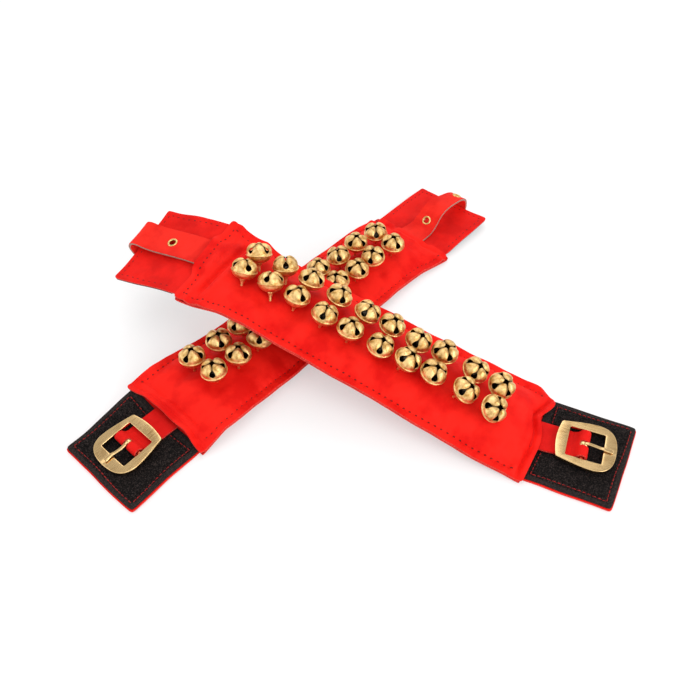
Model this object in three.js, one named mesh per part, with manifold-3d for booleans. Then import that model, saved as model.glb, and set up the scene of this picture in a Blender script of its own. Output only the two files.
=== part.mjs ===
// A pair of padded ankle-bell bands, one laid across the other. Millimetres, +Z up.
// The lower band lies along X with the middle of its pad's underside at the origin.
// The upper band rests on the lower band's bells, its buckle end on the ground.
import * as THREE from 'three';
import { mergeVertices } from 'three/addons/utils/BufferGeometryUtils.js';
import Module from 'manifold-3d';

// Pad: a cushion sewn to a leather backing
const PAD_LENGTH = 195;
const PAD_WIDTH = 57.5;
const PAD_CROWN = 11.5;
const PAD_EDGE = 2.8;
const SEAM_MARGIN = 4.5;
const END_RISE = 22;
const LEATHER = 1.2;
const PAD_CORNER = 3;

// Tabs: hook tape under one end, loop tape on top of the other
const TAB_LENGTH = 42.5;
const TAB_WIDTH = 52;
const TAB_CORNER = 4;
const TAPE = 1.6;
const TAPE_MARGIN = 0.5;
const TAPE_CORNER = 3;

// Bells: two rows of slotted brass bells, each on a shank through the pad's face
const COLUMNS = 10;
const FIRST_COLUMN = 27.5;
const COLUMN_PITCH = 15.45;
const ROW_SPACING = 14.8;
const BELL_DIAMETER = 14;
const BELL_DOME = 6.2;
const BELL_BOWL = 4.6;
const BELL_WALL = 0.8;
const SHANK_DIAMETER = 2;
const SHANK_FLARE = 3.6;
const SHANK_SHOWN = 3.4;
const SHANK_SEAT = 6;
const SLOT_WIDTH = 0.9;
const SLOT_EYE = 2.8;
const SLOT_REACH = 0.92;
const SLOT_STAR = 1.1;
const BELL_SIDES = 12;
const BELL_TURN = 137.5;

// Eyelet strap: leaves the seam, arches over the hook tab and hangs down past the tab's end
const STRAP_WIDTH = 17;
const STRAP_THICKNESS = 1.6;
const EYELET_OUTER = 5.8;
const EYELET_HOLE = 3.4;
const EYELET_PROUD = 0.4;

// Buckle: a centre-bar frame held in the fold of a short strap
const BUCKLE_SETBACK = 9.2;
const BUCKLE_LENGTH = 28.1;
const BUCKLE_BACK_WIDTH = 22.5;
const BUCKLE_WIDTH = 27.5;
const BUCKLE_BELLY = 0.63;
const BUCKLE_BOW = 1.2;
const BUCKLE_THICKNESS = 2.2;
const BUCKLE_CHAMFER = 0.6;
const BUCKLE_CORNER = 1.5;
const BACK_RIM = 4.6;
const TIP_RIM = 6.3;
const BAR_DIAMETER = 2;
const BAR_PLACE = 0.44;
const FOLD_THICKNESS = 1.4;
const FOLD_LENGTH = 6.5;
const PRONG_WIDTH = 2.4;
const PRONG_THICKNESS = 1.5;
const PRONG_SLOT = 3.2;

// Clearances and lay of the pair
const GAP = 0.3;
const ROOT_GAP = 0.6;
const CROSS_ANGLE = 104.8;
const CROSS_PLACE = 18.5;
const CROSS_RUN = 149.6;
const LOWER_LAY = {
  side: -1, strapLean: -3, buckleLean: 6, hookBend: 0, hookShift: 3, strapShift: 0,
  loopSway: 2.5, buckleTurn: 0, buckleDip: 5, eyelets: [13.5, 43.5],
};
const UPPER_LAY = {
  side: 1, strapLean: 14, buckleLean: -6, hookBend: -20, hookShift: 0, strapShift: -4,
  loopSway: 1.6, buckleTurn: 6.9, buckleDip: 0, eyelets: [22],
};

// Middle lines of the eyelet straps: share of the tab's length, then rise above the strap's root
LOWER_LAY.strapLine = [
  [0.2, 0.8], [0.305, 3.9], [0.4, 8.2], [0.55, 10.4], [0.74, 9.8], [0.9, 8.6],
  [1.01, 5.6], [1.05, 0.9], [1.04, -3.3],
];
UPPER_LAY.strapLine = [
  [0.2, 1.4], [0.46, 2.3], [0.7, 2.9], [0.86, 3.8], [0.965, 4.9],
  [1.05, 4.4], [1.095, 1.6], [1.08, -1.6], [1.06, -3.4],
];

const { degToRad, lerp, clamp } = THREE.MathUtils;
const kernel = await Module();
kernel.setup();

const PAD_FLOOR = LEATHER + GAP;
const LOOP_AXIS = LEATHER / 2;
const HOOK_AXIS = TAPE + GAP + LEATHER / 2;
const HOOK_TOP = TAPE + GAP + LEATHER;
const LOOP_TOP = LEATHER + GAP + TAPE;
const BAR_X = BUCKLE_SETBACK + BUCKLE_LENGTH * BAR_PLACE;
const BAR_EYE = BAR_DIAMETER / 2 + GAP;
const BAR_Z = LOOP_TOP + GAP + FOLD_THICKNESS + BAR_EYE;
const FRAME_TOP = BAR_Z + BUCKLE_THICKNESS / 2;
const WINDOW_WIDTH = STRAP_WIDTH + 2 * GAP;
const BOWL_BOTTOM = SHANK_SEAT + SHANK_SHOWN;
const EQUATOR = BOWL_BOTTOM + BELL_BOWL;

const leather = new THREE.MeshStandardMaterial({ color: 0xd3201c, roughness: 0.62 });
const lining = new THREE.MeshStandardMaterial({ color: 0xa81512, roughness: 0.75 });
const tape = new THREE.MeshStandardMaterial({ color: 0x141416, roughness: 0.95 });
const brass = new THREE.MeshStandardMaterial({ color: 0xc79a45, metalness: 1, roughness: 0.34 });
const plated = new THREE.MeshStandardMaterial({ color: 0xd8c48a, metalness: 1, roughness: 0.28 });

/** Closed solid of a geometry, for cutting and joining. */
function toSolid(geometry) {
  const bare = geometry.clone();
  bare.deleteAttribute('normal');
  bare.deleteAttribute('uv');
  const welded = mergeVertices(bare, 1e-4);
  return new kernel.Manifold(new kernel.Mesh({
    numProp: 3,
    vertProperties: new Float32Array(welded.attributes.position.array),
    triVerts: new Uint32Array(welded.index.array),
  }));
}

/** Geometry of a cut or joined solid. */
function toGeometry(solid) {
  const mesh = solid.getMesh();
  const geometry = new THREE.BufferGeometry();
  geometry.setAttribute('position', new THREE.BufferAttribute(mesh.vertProperties, 3));
  geometry.setIndex(new THREE.BufferAttribute(mesh.triVerts, 1));
  geometry.computeVertexNormals();
  return geometry;
}

/** Shape with rounded corners through the given [x, y] corners, in order. */
function roundedShape(corners, radius) {
  const shape = new THREE.Shape();
  const at = (index) => new THREE.Vector2(...corners[(index + corners.length) % corners.length]);
  corners.forEach((_, index) => {
    const here = at(index);
    const enter = at(index - 1).sub(here).setLength(radius).add(here);
    const leave = at(index + 1).sub(here).setLength(radius).add(here);
    if (index === 0) {
      shape.moveTo(enter.x, enter.y);
    } else {
      shape.lineTo(enter.x, enter.y);
    }
    shape.quadraticCurveTo(here.x, here.y, leave.x, leave.y);
  });
  return shape;
}

/** Flat sheet from x0 to x1, its underside at the given height and its far end moved across by the sway. */
function sheet(x0, x1, width, thickness, corner, height, sway = 0) {
  const half = width / 2;
  const shape = roundedShape([[x0, -half], [x1, sway - half], [x1, sway + half], [x0, half]], corner);
  const geometry = new THREE.ExtrudeGeometry(shape, {
    depth: thickness, bevelEnabled: false, curveSegments: 3,
  });
  return geometry.translate(0, 0, height);
}

/** Solid whose side view is the given shape, spanning the width evenly across. */
function sideExtrude(shape, width) {
  const geometry = new THREE.ExtrudeGeometry(shape, {
    depth: width, bevelEnabled: false, curveSegments: 4,
  });
  return geometry.translate(0, 0, -width / 2).rotateX(Math.PI / 2);
}

/** Cushion over a grid of stations: flat floor, upright edge and a crowned top. */
function cushion(xs, ys, floor, topAt) {
  const positions = xs.flatMap((x) => ys.flatMap((y) => [x, y, topAt(x, y)]));
  const indices = [];
  const count = xs.length * ys.length;
  const at = (i, j) => i * ys.length + j;
  for (let i = 0; i < xs.length - 1; i += 1) {
    for (let j = 0; j < ys.length - 1; j += 1) {
      const [a, b, c, d] = [at(i, j), at(i + 1, j), at(i + 1, j + 1), at(i, j + 1)];
      indices.push(a, b, c, a, c, d);
    }
  }
  const rim = [];
  for (let i = 0; i < xs.length - 1; i += 1) rim.push(at(i, 0));
  for (let j = 0; j < ys.length - 1; j += 1) rim.push(at(xs.length - 1, j));
  for (let i = xs.length - 1; i > 0; i -= 1) rim.push(at(i, ys.length - 1));
  for (let j = ys.length - 1; j > 0; j -= 1) rim.push(at(0, j));
  rim.forEach((from, index) => {
    const next = (index + 1) % rim.length;
    positions.push(positions[3 * from], positions[3 * from + 1], floor);
    indices.push(from, count + index, count + next, from, count + next, rim[next]);
    indices.push(count + rim.length, count + next, count + index);
  });
  positions.push((xs[0] + xs.at(-1)) / 2, (ys[0] + ys.at(-1)) / 2, floor);
  const geometry = new THREE.BufferGeometry();
  geometry.setAttribute('position', new THREE.Float32BufferAttribute(positions, 3));
  geometry.setIndex(indices);
  return geometry;
}

/** Part of the full crown reached at a distance in from a sewn edge. */
function pillow(inset, rise) {
  const t = clamp((inset - SEAM_MARGIN) / rise, 0, 1);
  return t * (2 - t);
}

/** Height of the pad's face; x runs from -PAD_LENGTH at the strap end to 0 at the buckle end. */
function padTop(x, y) {
  const along = pillow(Math.min(-x, x + PAD_LENGTH), END_RISE);
  const across = pillow(PAD_WIDTH / 2 - Math.abs(y), PAD_WIDTH / 2 - SEAM_MARGIN);
  return PAD_EDGE + (PAD_CROWN - PAD_EDGE) * along * across;
}

/** Grid stations that crowd towards both ends of a span. */
function stations(from, to, insets, middles) {
  const inner = [from + insets.at(-1), to - insets.at(-1)];
  const starts = insets.slice(0, -1).map((inset) => from + inset);
  const centre = Array.from({ length: middles + 1 }, (_, k) => lerp(inner[0], inner[1], k / middles));
  const ends = insets.slice(0, -1).reverse().map((inset) => to - inset);
  return [...starts, ...centre, ...ends];
}

/** The pad with a blind hole for each shank. */
function padGeometry(seats) {
  const half = PAD_WIDTH / 2;
  const rises = [0, 0.2, 0.48, 1].map((share) => SEAM_MARGIN + END_RISE * share);
  const xs = stations(-PAD_LENGTH, 0, [0, ...rises], 5);
  const ys = stations(-half, half, [0, SEAM_MARGIN, half * 0.36, half * 0.66], 2);
  let pad = toSolid(cushion(xs, ys, PAD_FLOOR, padTop));
  const depth = 2 * SHANK_SEAT;
  const hole = new THREE.CylinderGeometry(
    SHANK_DIAMETER / 2 + 1.5 * GAP, SHANK_DIAMETER / 2 + 1.5 * GAP, depth, 6,
  ).rotateX(Math.PI / 2).translate(0, 0, depth / 2 - GAP);
  for (const seat of seats) {
    seat.updateMatrix();
    pad = pad.subtract(toSolid(hole.clone().applyMatrix4(seat.matrix)));
  }
  return toGeometry(pad);
}

/** Outline of the crossing slots, seen from above: a star at the pole and a flared eye at each end. */
function slotShape() {
  const reach = (BELL_DIAMETER / 2) * SLOT_REACH;
  const arm = [
    [reach * 0.65, -SLOT_WIDTH / 2], [reach, -SLOT_EYE / 2],
    [reach, SLOT_EYE / 2], [reach * 0.65, SLOT_WIDTH / 2], [SLOT_STAR, SLOT_STAR],
  ];
  const points = [0, 1, 2, 3].flatMap((quarter) => arm.map(([x, y]) => (
    new THREE.Vector2(x, y).rotateAround(new THREE.Vector2(), quarter * (Math.PI / 2)))));
  return new THREE.Shape(points);
}

/** Solid of revolution about Z through the given [radius, height] points. */
function turned(points, sides) {
  const profile = points.map(([radius, height]) => new THREE.Vector2(radius, height));
  return toSolid(new THREE.LatheGeometry(profile, sides).rotateX(Math.PI / 2));
}

/** One bell: hollow, slotted from the pole, its foot at the bottom of its seat. */
function bellGeometry() {
  const shell = (inset, sides) => {
    const radius = BELL_DIAMETER / 2 - inset;
    const [bowl, dome] = [BELL_BOWL - inset, BELL_DOME - inset];
    const shoulder = Math.SQRT1_2;
    return turned([
      [0, EQUATOR - bowl], [radius * shoulder, EQUATOR - bowl * shoulder], [radius, EQUATOR],
      [radius * shoulder, EQUATOR + dome * shoulder], [0, EQUATOR + dome],
    ], sides);
  };
  const shank = turned([
    [0, 0], [SHANK_DIAMETER / 2, 0], [SHANK_DIAMETER / 2, SHANK_SEAT],
    [SHANK_FLARE / 2, BOWL_BOTTOM + BELL_WALL / 2], [0, BOWL_BOTTOM + BELL_WALL / 2],
  ], BELL_SIDES / 2);
  const slots = new THREE.ExtrudeGeometry(slotShape(), { depth: 2 * BELL_DOME, bevelEnabled: false });
  slots.rotateZ(Math.PI / 4).translate(0, 0, EQUATOR + BELL_WALL);
  const body = shell(0, BELL_SIDES).add(shank);
  return toGeometry(body.subtract(shell(BELL_WALL, BELL_SIDES / 2)).subtract(toSolid(slots)));
}

/** Frames of a band's bells on its pad, by row and column from the strap end. */
function bellSeats({ strapLean, buckleLean, side }) {
  const seats = [];
  for (const row of [0, 1]) {
    for (let column = 0; column < COLUMNS; column += 1) {
      const seat = new THREE.Object3D();
      const y = (row - 0.5) * ROW_SPACING;
      const x = FIRST_COLUMN + column * COLUMN_PITCH - PAD_LENGTH;
      const lean = lerp(strapLean, buckleLean, column / (COLUMNS - 1));
      seat.position.set(x, y, padTop(x, y) - SHANK_SEAT);
      seat.rotation.set(-side * degToRad(lean), 0, degToRad(BELL_TURN * (row * COLUMNS + column)));
      seat.name = `${row === 0 ? 'a' : 'b'}${String(column + 1).padStart(2, '0')}`;
      seats.push(seat);
    }
  }
  return seats;
}

/** The eyelet strap along its middle line, with an eyelet pressed in at each distance from its root. */
function eyeletStrapGeometry({ strapLine, eyelets, strapShift }) {
  const low = HOOK_TOP + GAP + EYELET_PROUD + STRAP_THICKNESS / 2;
  const line = new THREE.SplineCurve([[0, 0], ...strapLine].map(([share, rise]) => (
    new THREE.Vector2(ROOT_GAP + TAB_LENGTH * share, low + rise))));
  const length = line.getLength();
  const steps = 28;
  const sides = [[], []];
  for (let step = 0; step <= steps; step += 1) {
    const at = line.getPointAt(step / steps);
    const along = line.getTangentAt(step / steps);
    const across = new THREE.Vector2(-along.y, along.x).multiplyScalar(STRAP_THICKNESS / 2);
    sides[0].push(at.clone().sub(across));
    sides[1].unshift(at.clone().add(across));
  }
  let strap = toSolid(sideExtrude(new THREE.Shape([...sides[0], ...sides[1]]), STRAP_WIDTH));
  const rim = (diameter, height) => new THREE.CylinderGeometry(diameter / 2, diameter / 2, height, 8)
    .rotateX(Math.PI / 2);
  for (const place of eyelets) {
    const share = place / length;
    const at = line.getPointAt(share);
    const along = line.getTangentAt(share);
    const seat = new THREE.Matrix4().makeRotationY(-Math.atan2(along.y, along.x)).setPosition(at.x, 0, at.y);
    const height = STRAP_THICKNESS + 2 * EYELET_PROUD;
    strap = strap.add(toSolid(rim(EYELET_OUTER, height).applyMatrix4(seat)));
    strap = strap.subtract(toSolid(rim(EYELET_HOLE, 2 * height).applyMatrix4(seat)));
  }
  return toGeometry(strap.translate([0, strapShift, 0]));
}

/** The short strap: out along the loop tab, round the bar and back on itself, slit for the prong. */
function buckleStrapGeometry() {
  const bottom = LOOP_TOP + GAP;
  const eye = BAR_EYE + FOLD_THICKNESS;
  const root = 2 * ROOT_GAP;
  const shape = new THREE.Shape();
  shape.moveTo(root, bottom);
  shape.lineTo(BAR_X, bottom);
  shape.absarc(BAR_X, BAR_Z, eye, -Math.PI / 2, Math.PI / 2);
  shape.lineTo(BAR_X - FOLD_LENGTH / 2, BAR_Z + eye * 0.7);
  shape.lineTo(BAR_X - FOLD_LENGTH, bottom + FOLD_THICKNESS);
  shape.lineTo(root, bottom + FOLD_THICKNESS);
  shape.closePath();
  shape.holes.push(new THREE.Path().absarc(BAR_X, BAR_Z, BAR_EYE, 0, 2 * Math.PI, true));
  const slit = new THREE.BoxGeometry(2 * (eye + GAP), PRONG_SLOT, 4 * eye).translate(BAR_X, 0, BAR_Z);
  return toGeometry(toSolid(sideExtrude(shape, STRAP_WIDTH)).subtract(toSolid(slit)));
}

/** The buckle's frame: bowed at the strap side, round at the tip, with its bar across the window. */
function buckleFrameGeometry() {
  const back = BUCKLE_SETBACK + BUCKLE_CHAMFER;
  const tip = BUCKLE_SETBACK + BUCKLE_LENGTH - BUCKLE_CHAMFER;
  const belly = lerp(back, tip, BUCKLE_BELLY);
  const half = BUCKLE_WIDTH / 2 - BUCKLE_CHAMFER;
  const backHalf = BUCKLE_BACK_WIDTH / 2 - BUCKLE_CHAMFER;
  const shape = new THREE.Shape();
  shape.moveTo(back, BUCKLE_CORNER - backHalf);
  shape.quadraticCurveTo(back, -backHalf, back + BUCKLE_CORNER, -backHalf);
  shape.quadraticCurveTo(BAR_X, -half, belly, -half);
  shape.bezierCurveTo(lerp(belly, tip, 0.72), -half, tip, -half * 0.65, tip, 0);
  shape.bezierCurveTo(tip, half * 0.65, lerp(belly, tip, 0.72), half, belly, half);
  shape.quadraticCurveTo(BAR_X, half, back + BUCKLE_CORNER, backHalf);
  shape.quadraticCurveTo(back, backHalf, back, backHalf - BUCKLE_CORNER);
  shape.quadraticCurveTo(back - 2 * BUCKLE_BOW, 0, back, BUCKLE_CORNER - backHalf);
  const side = WINDOW_WIDTH / 2 + BUCKLE_CHAMFER;
  const [near, far] = [back + BACK_RIM - 2 * BUCKLE_CHAMFER, tip - TIP_RIM + 2 * BUCKLE_CHAMFER];
  const corners = [[near, -side], [near, side], [far, side], [far, -side]];
  shape.holes.push(roundedShape(corners, BUCKLE_CORNER));
  const plate = new THREE.ExtrudeGeometry(shape, {
    depth: BUCKLE_THICKNESS - 2 * BUCKLE_CHAMFER, curveSegments: 4,
    bevelThickness: BUCKLE_CHAMFER, bevelSize: BUCKLE_CHAMFER, bevelSegments: 1,
  }).translate(0, 0, BAR_Z - BUCKLE_THICKNESS / 2 + BUCKLE_CHAMFER);
  const bar = new THREE.CylinderGeometry(BAR_DIAMETER / 2, BAR_DIAMETER / 2, WINDOW_WIDTH + BACK_RIM, 10);
  return toGeometry(toSolid(plate).add(toSolid(bar.translate(BAR_X, 0, BAR_Z))));
}

/** The prong: an eye round the bar and an arm that rests on the frame's tip. */
function prongGeometry() {
  const eye = BAR_EYE + PRONG_THICKNESS * 0.8;
  const end = BUCKLE_SETBACK + BUCKLE_LENGTH - TIP_RIM * 0.25;
  const rest = FRAME_TOP + GAP;
  const shape = new THREE.Shape();
  shape.absarc(BAR_X, BAR_Z, eye, Math.PI / 2, 2 * Math.PI - 0.2);
  shape.quadraticCurveTo(lerp(BAR_X, end, 0.45), rest + GAP, end - TIP_RIM * 0.5, rest);
  shape.lineTo(end, rest);
  shape.lineTo(end, rest + PRONG_THICKNESS * 0.6);
  shape.quadraticCurveTo(lerp(BAR_X, end, 0.6), rest + 1.6 * PRONG_THICKNESS, BAR_X, BAR_Z + eye);
  shape.holes.push(new THREE.Path().absarc(BAR_X, BAR_Z, BAR_EYE, 0, 2 * Math.PI, true));
  return sideExtrude(shape, PRONG_WIDTH);
}

const bell = bellGeometry();

/** One band with its buckle-end seam at the group's origin and its pad towards -X. */
function makeBand(prefix, lay, pitch) {
  const band = new THREE.Group();
  const add = (parent, name, geometry, material) => {
    const mesh = new THREE.Mesh(geometry, material);
    mesh.name = `${prefix}_${name}`;
    parent.add(mesh);
    return mesh;
  };

  const slope = new THREE.Group();
  slope.position.z = LOOP_AXIS;
  slope.rotation.y = pitch;
  band.add(slope);
  const pad = new THREE.Group();
  pad.position.z = -LOOP_AXIS;
  slope.add(pad);
  const seats = bellSeats(lay);
  add(pad, 'backing', sheet(-PAD_LENGTH, 0, PAD_WIDTH, LEATHER, PAD_CORNER, 0), lining);
  add(pad, 'pad', padGeometry(seats), leather);
  for (const seat of seats) {
    const mesh = add(pad, `bell_${seat.name}`, bell, brass);
    mesh.position.copy(seat.position);
    mesh.rotation.copy(seat.rotation);
  }

  const tapeEnd = ROOT_GAP + TAB_LENGTH - TAPE_MARGIN;
  const tapeWidth = TAB_WIDTH - 2 * TAPE_MARGIN;
  const hookEnd = new THREE.Group();
  hookEnd.position.set(-PAD_LENGTH, lay.hookShift, HOOK_AXIS);
  hookEnd.rotation.set(0, degToRad(lay.hookBend), Math.PI);
  pad.add(hookEnd);
  const hook = new THREE.Group();
  hook.position.z = -HOOK_AXIS;
  hookEnd.add(hook);
  add(hook, 'hook_tab',
    sheet(ROOT_GAP, ROOT_GAP + TAB_LENGTH, TAB_WIDTH, LEATHER, TAB_CORNER, TAPE + GAP), leather);
  add(hook, 'hook_tape', sheet(TAB_CORNER, tapeEnd, tapeWidth, TAPE, TAPE_CORNER, 0), tape);
  add(hook, 'eyelet_strap', eyeletStrapGeometry(lay), leather);

  add(band, 'loop_tab',
    sheet(ROOT_GAP, ROOT_GAP + TAB_LENGTH, TAB_WIDTH, LEATHER, TAB_CORNER, 0, lay.loopSway), leather);
  add(band, 'loop_tape',
    sheet(TAPE + ROOT_GAP, tapeEnd, tapeWidth, TAPE, TAPE_CORNER, LEATHER + GAP, lay.loopSway), tape);
  const clasp = new THREE.Group();
  clasp.rotation.z = degToRad(lay.buckleTurn);
  band.add(clasp);
  add(clasp, 'buckle_strap', buckleStrapGeometry(), leather);
  const rock = new THREE.Group();
  rock.position.set(BAR_X, 0, BAR_Z);
  rock.rotation.y = degToRad(lay.buckleDip);
  clasp.add(rock);
  const buckle = new THREE.Group();
  buckle.position.set(-BAR_X, 0, -BAR_Z);
  rock.add(buckle);
  add(buckle, 'buckle_frame', buckleFrameGeometry(), plated);
  add(buckle, 'buckle_prong', prongGeometry(), plated);
  return band;
}

/** Slope at which a band whose seam lies at the given frame just clears the bells below its pad. */
function restingPitch(seam, below) {
  seam.updateMatrixWorld(true);
  below.updateMatrixWorld(true);
  const reach = BELL_DIAMETER / 2 + PAD_WIDTH / 2;
  let pitch = 0;
  below.traverse((node) => {
    if (!node.name.includes('bell')) return;
    const centre = seam.worldToLocal(node.localToWorld(new THREE.Vector3(0, 0, EQUATOR)));
    if (centre.x > 0 || centre.x < -PAD_LENGTH || Math.abs(centre.y) > reach) return;
    const distance = Math.hypot(centre.x, centre.z);
    const rise = Math.atan2(centre.z, -centre.x);
    pitch = Math.max(pitch, rise + Math.asin((BELL_DOME + GAP) / distance));
  });
  return pitch;
}

const pair = new THREE.Group();
const lower = makeBand('lower', LOWER_LAY, 0);
lower.position.x = PAD_LENGTH / 2;
pair.add(lower);

const seam = new THREE.Object3D();
const heading = degToRad(CROSS_ANGLE);
seam.position.set(CROSS_PLACE + CROSS_RUN * Math.cos(heading), CROSS_RUN * Math.sin(heading), 0);
seam.rotation.z = heading;
const upper = makeBand('upper', UPPER_LAY, restingPitch(seam, lower));
upper.position.copy(seam.position);
upper.rotation.copy(seam.rotation);
pair.add(upper);

export default pair;
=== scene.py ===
"""The dressed pair of ankle-bell bands: padded leather, slotted brass bells, tapes and buckles.

Lengths are millimetres in a band's own frame until a mesh is made, which is in metres.
"""

import logging
import math
from dataclasses import dataclass, field
from enum import Enum
from typing import Callable, Sequence

import bmesh
import bpy
import numpy as np
from bpy.types import Material, Node, NodeSocket, NodeTree, Object
from mathutils import Matrix, Vector, noise

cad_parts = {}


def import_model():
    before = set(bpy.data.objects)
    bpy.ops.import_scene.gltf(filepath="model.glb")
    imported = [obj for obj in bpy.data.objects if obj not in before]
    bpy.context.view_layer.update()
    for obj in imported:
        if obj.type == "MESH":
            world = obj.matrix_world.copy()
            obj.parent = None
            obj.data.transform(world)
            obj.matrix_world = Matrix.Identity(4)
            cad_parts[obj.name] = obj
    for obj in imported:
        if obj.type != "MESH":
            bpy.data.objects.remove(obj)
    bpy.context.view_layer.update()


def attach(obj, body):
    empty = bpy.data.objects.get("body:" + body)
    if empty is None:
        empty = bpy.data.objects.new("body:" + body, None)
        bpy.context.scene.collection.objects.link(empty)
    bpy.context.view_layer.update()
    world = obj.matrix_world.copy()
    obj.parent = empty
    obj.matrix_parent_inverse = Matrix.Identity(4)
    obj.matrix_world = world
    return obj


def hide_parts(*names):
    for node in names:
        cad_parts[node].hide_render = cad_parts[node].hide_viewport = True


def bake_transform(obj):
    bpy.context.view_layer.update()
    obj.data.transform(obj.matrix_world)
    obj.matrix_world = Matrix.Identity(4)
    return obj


LOG = logging.getLogger("ankle_bells")
MM = 0.001

# Sizes shared with the CAD solids
PAD_LENGTH = 195.0
PAD_WIDTH = 57.5
PAD_CROWN = 11.5
PAD_EDGE = 2.8
SEAM_MARGIN = 4.5
END_RISE = 22.0
LEATHER = 1.2
GAP = 0.3
TAPE = 1.6
TAB_LENGTH = 42.5
TAB_WIDTH = 52.0
ROOT_GAP = 0.6
STRAP_WIDTH = 17.0
TAPE_MARGIN = 0.5
COLUMNS = 10
FIRST_COLUMN = 27.5
COLUMN_PITCH = 15.45
ROW_SPACING = 14.8
SHANK_SEAT = 6.0
SHANK_SHOWN = 3.4
BELL_BOWL = 4.6
BELL_TURN = 137.5
PAD_FLOOR = LEATHER + GAP
LOOP_AXIS = LEATHER / 2
HOOK_AXIS = TAPE + GAP + LEATHER / 2
HOOK_TOP = TAPE + GAP + LEATHER
LOOP_TOP = LEATHER + GAP + TAPE
EQUATOR = SHANK_SEAT + SHANK_SHOWN + BELL_BOWL

Grid = np.ndarray
Surface = Callable[[Grid, Grid], Grid]
Pair = tuple[float, float]
Place = tuple[float, float, float]


class Slot(Enum):
    """Material slots, by name."""

    LEATHER = "red_leather"
    LINING = "lining_leather"
    TAPE = "fastening_tape"
    BELL = "bell_brass"
    BUCKLE = "buckle_brass"


def smooth(t: Grid) -> Grid:
    """Eases from 0 to 1 as t goes from 0 to 1."""
    t = np.clip(t, 0.0, 1.0)
    return t * t * (3.0 - 2.0 * t)


def fade(distance: Grid, full: float, gone: float) -> Grid:
    """Is 1 at one distance and beyond it, and eases to 0 at the other."""
    return smooth((gone - distance) / (gone - full))


def hump(distance: Grid, width: float) -> Grid:
    """Bell-shaped rise of height 1 at distance 0, about twice the width across."""
    return np.exp(-((distance / width) ** 2))


def ripple(x: Grid, y: Grid, reach: Pair, seed: float) -> Grid:
    """Smooth noise between -1 and 1.

    Args:
        x: Positions along, in millimetres.
        y: Positions across, in millimetres.
        reach: How far one swell reaches along and across, in millimetres.
        seed: Picks a different pattern.

    Returns:
        The noise at each position.
    """
    x, y = np.broadcast_arrays(x, y)
    found = [
        noise.noise(Vector((a / reach[0] + seed, b / reach[1] - seed, seed * 0.37)))
        for a, b in zip(x.ravel(), y.ravel())
    ]
    return np.array(found).reshape(x.shape)


def stack(x: Grid, y: Grid, z: Grid) -> Grid:
    """Joins coordinates into points."""
    return np.stack(np.broadcast_arrays(x, y, z), axis=-1).astype(float)


def moved(frame: Matrix, points: Grid) -> Grid:
    """Points of a frame, in the frame that holds it."""
    matrix = np.array(frame)
    return points @ matrix[:3, :3].T + matrix[:3, 3]


def spaced(start: float, end: float, edge: Sequence[float], step: float) -> Grid:
    """Stations from start to end that crowd at both ends.

    Args:
        start: The first station.
        end: The last station.
        edge: Distances in from each end that get a station.
        step: The spacing between.

    Returns:
        The stations, in order.
    """
    inner = (start + edge[-1], end - edge[-1])
    middle = np.linspace(*inner, max(2, int(round((inner[1] - inner[0]) / step)) + 1))
    head = [start] + [start + e for e in edge[:-1]]
    tail = [end - e for e in reversed(edge[:-1])] + [end]
    return np.concatenate([head, middle, tail])


def lattice(
    along: Pair,
    across: Pair,
    edge: Sequence[float],
    step: float,
) -> list[Grid]:
    """Places over a rectangle that crowd at its edges.

    Args:
        along: Where it starts and ends along.
        across: Where it starts and ends across.
        edge: Distances in from each edge that get a row.
        step: The spacing between.

    Returns:
        Positions along and across, as two grids.
    """
    return np.meshgrid(spaced(*along, edge, step), spaced(*across, edge, step), indexing="ij")


def bezier(knots: Sequence[Sequence[float]], count: int) -> Grid:
    """Points of a Bezier curve of three or four knots, the last one left out.

    Args:
        knots: Its knots.
        count: How many points.

    Returns:
        The points, in order.
    """
    t = np.linspace(0.0, 1.0, count, endpoint=False)[:, None]
    k = np.asarray(knots, float)
    while len(k) > 1:
        k = [a + (b - a) * t for a, b in zip(k, k[1:])]
    return k[0]


def spline(knots: Grid, count: int) -> Grid:
    """Points of a smooth curve through knots.

    Args:
        knots: The knots, in order.
        count: Points in each span.

    Returns:
        The points, in order.
    """
    before, after = np.vstack([knots[:1], knots[:-1]]), np.vstack([knots[1:], knots[-1:]])
    pull = (after - before) / 2
    parts = [
        bezier([knots[i], knots[i] + pull[i] / 3, knots[i + 1] - pull[i + 1] / 3, knots[i + 1]], count)
        for i in range(len(knots) - 1)
    ]
    return np.vstack([*parts, knots[-1:]])


def circle(count: int) -> Grid:
    """Evenly spaced angles round a full turn."""
    return np.linspace(0.0, 2.0 * math.pi, count, endpoint=False)


def lengths_along(line: Grid) -> Grid:
    """Distance of each of a line's points from its start."""
    return np.concatenate([[0.0], np.cumsum(np.linalg.norm(np.diff(line, axis=0), axis=1))])


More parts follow.
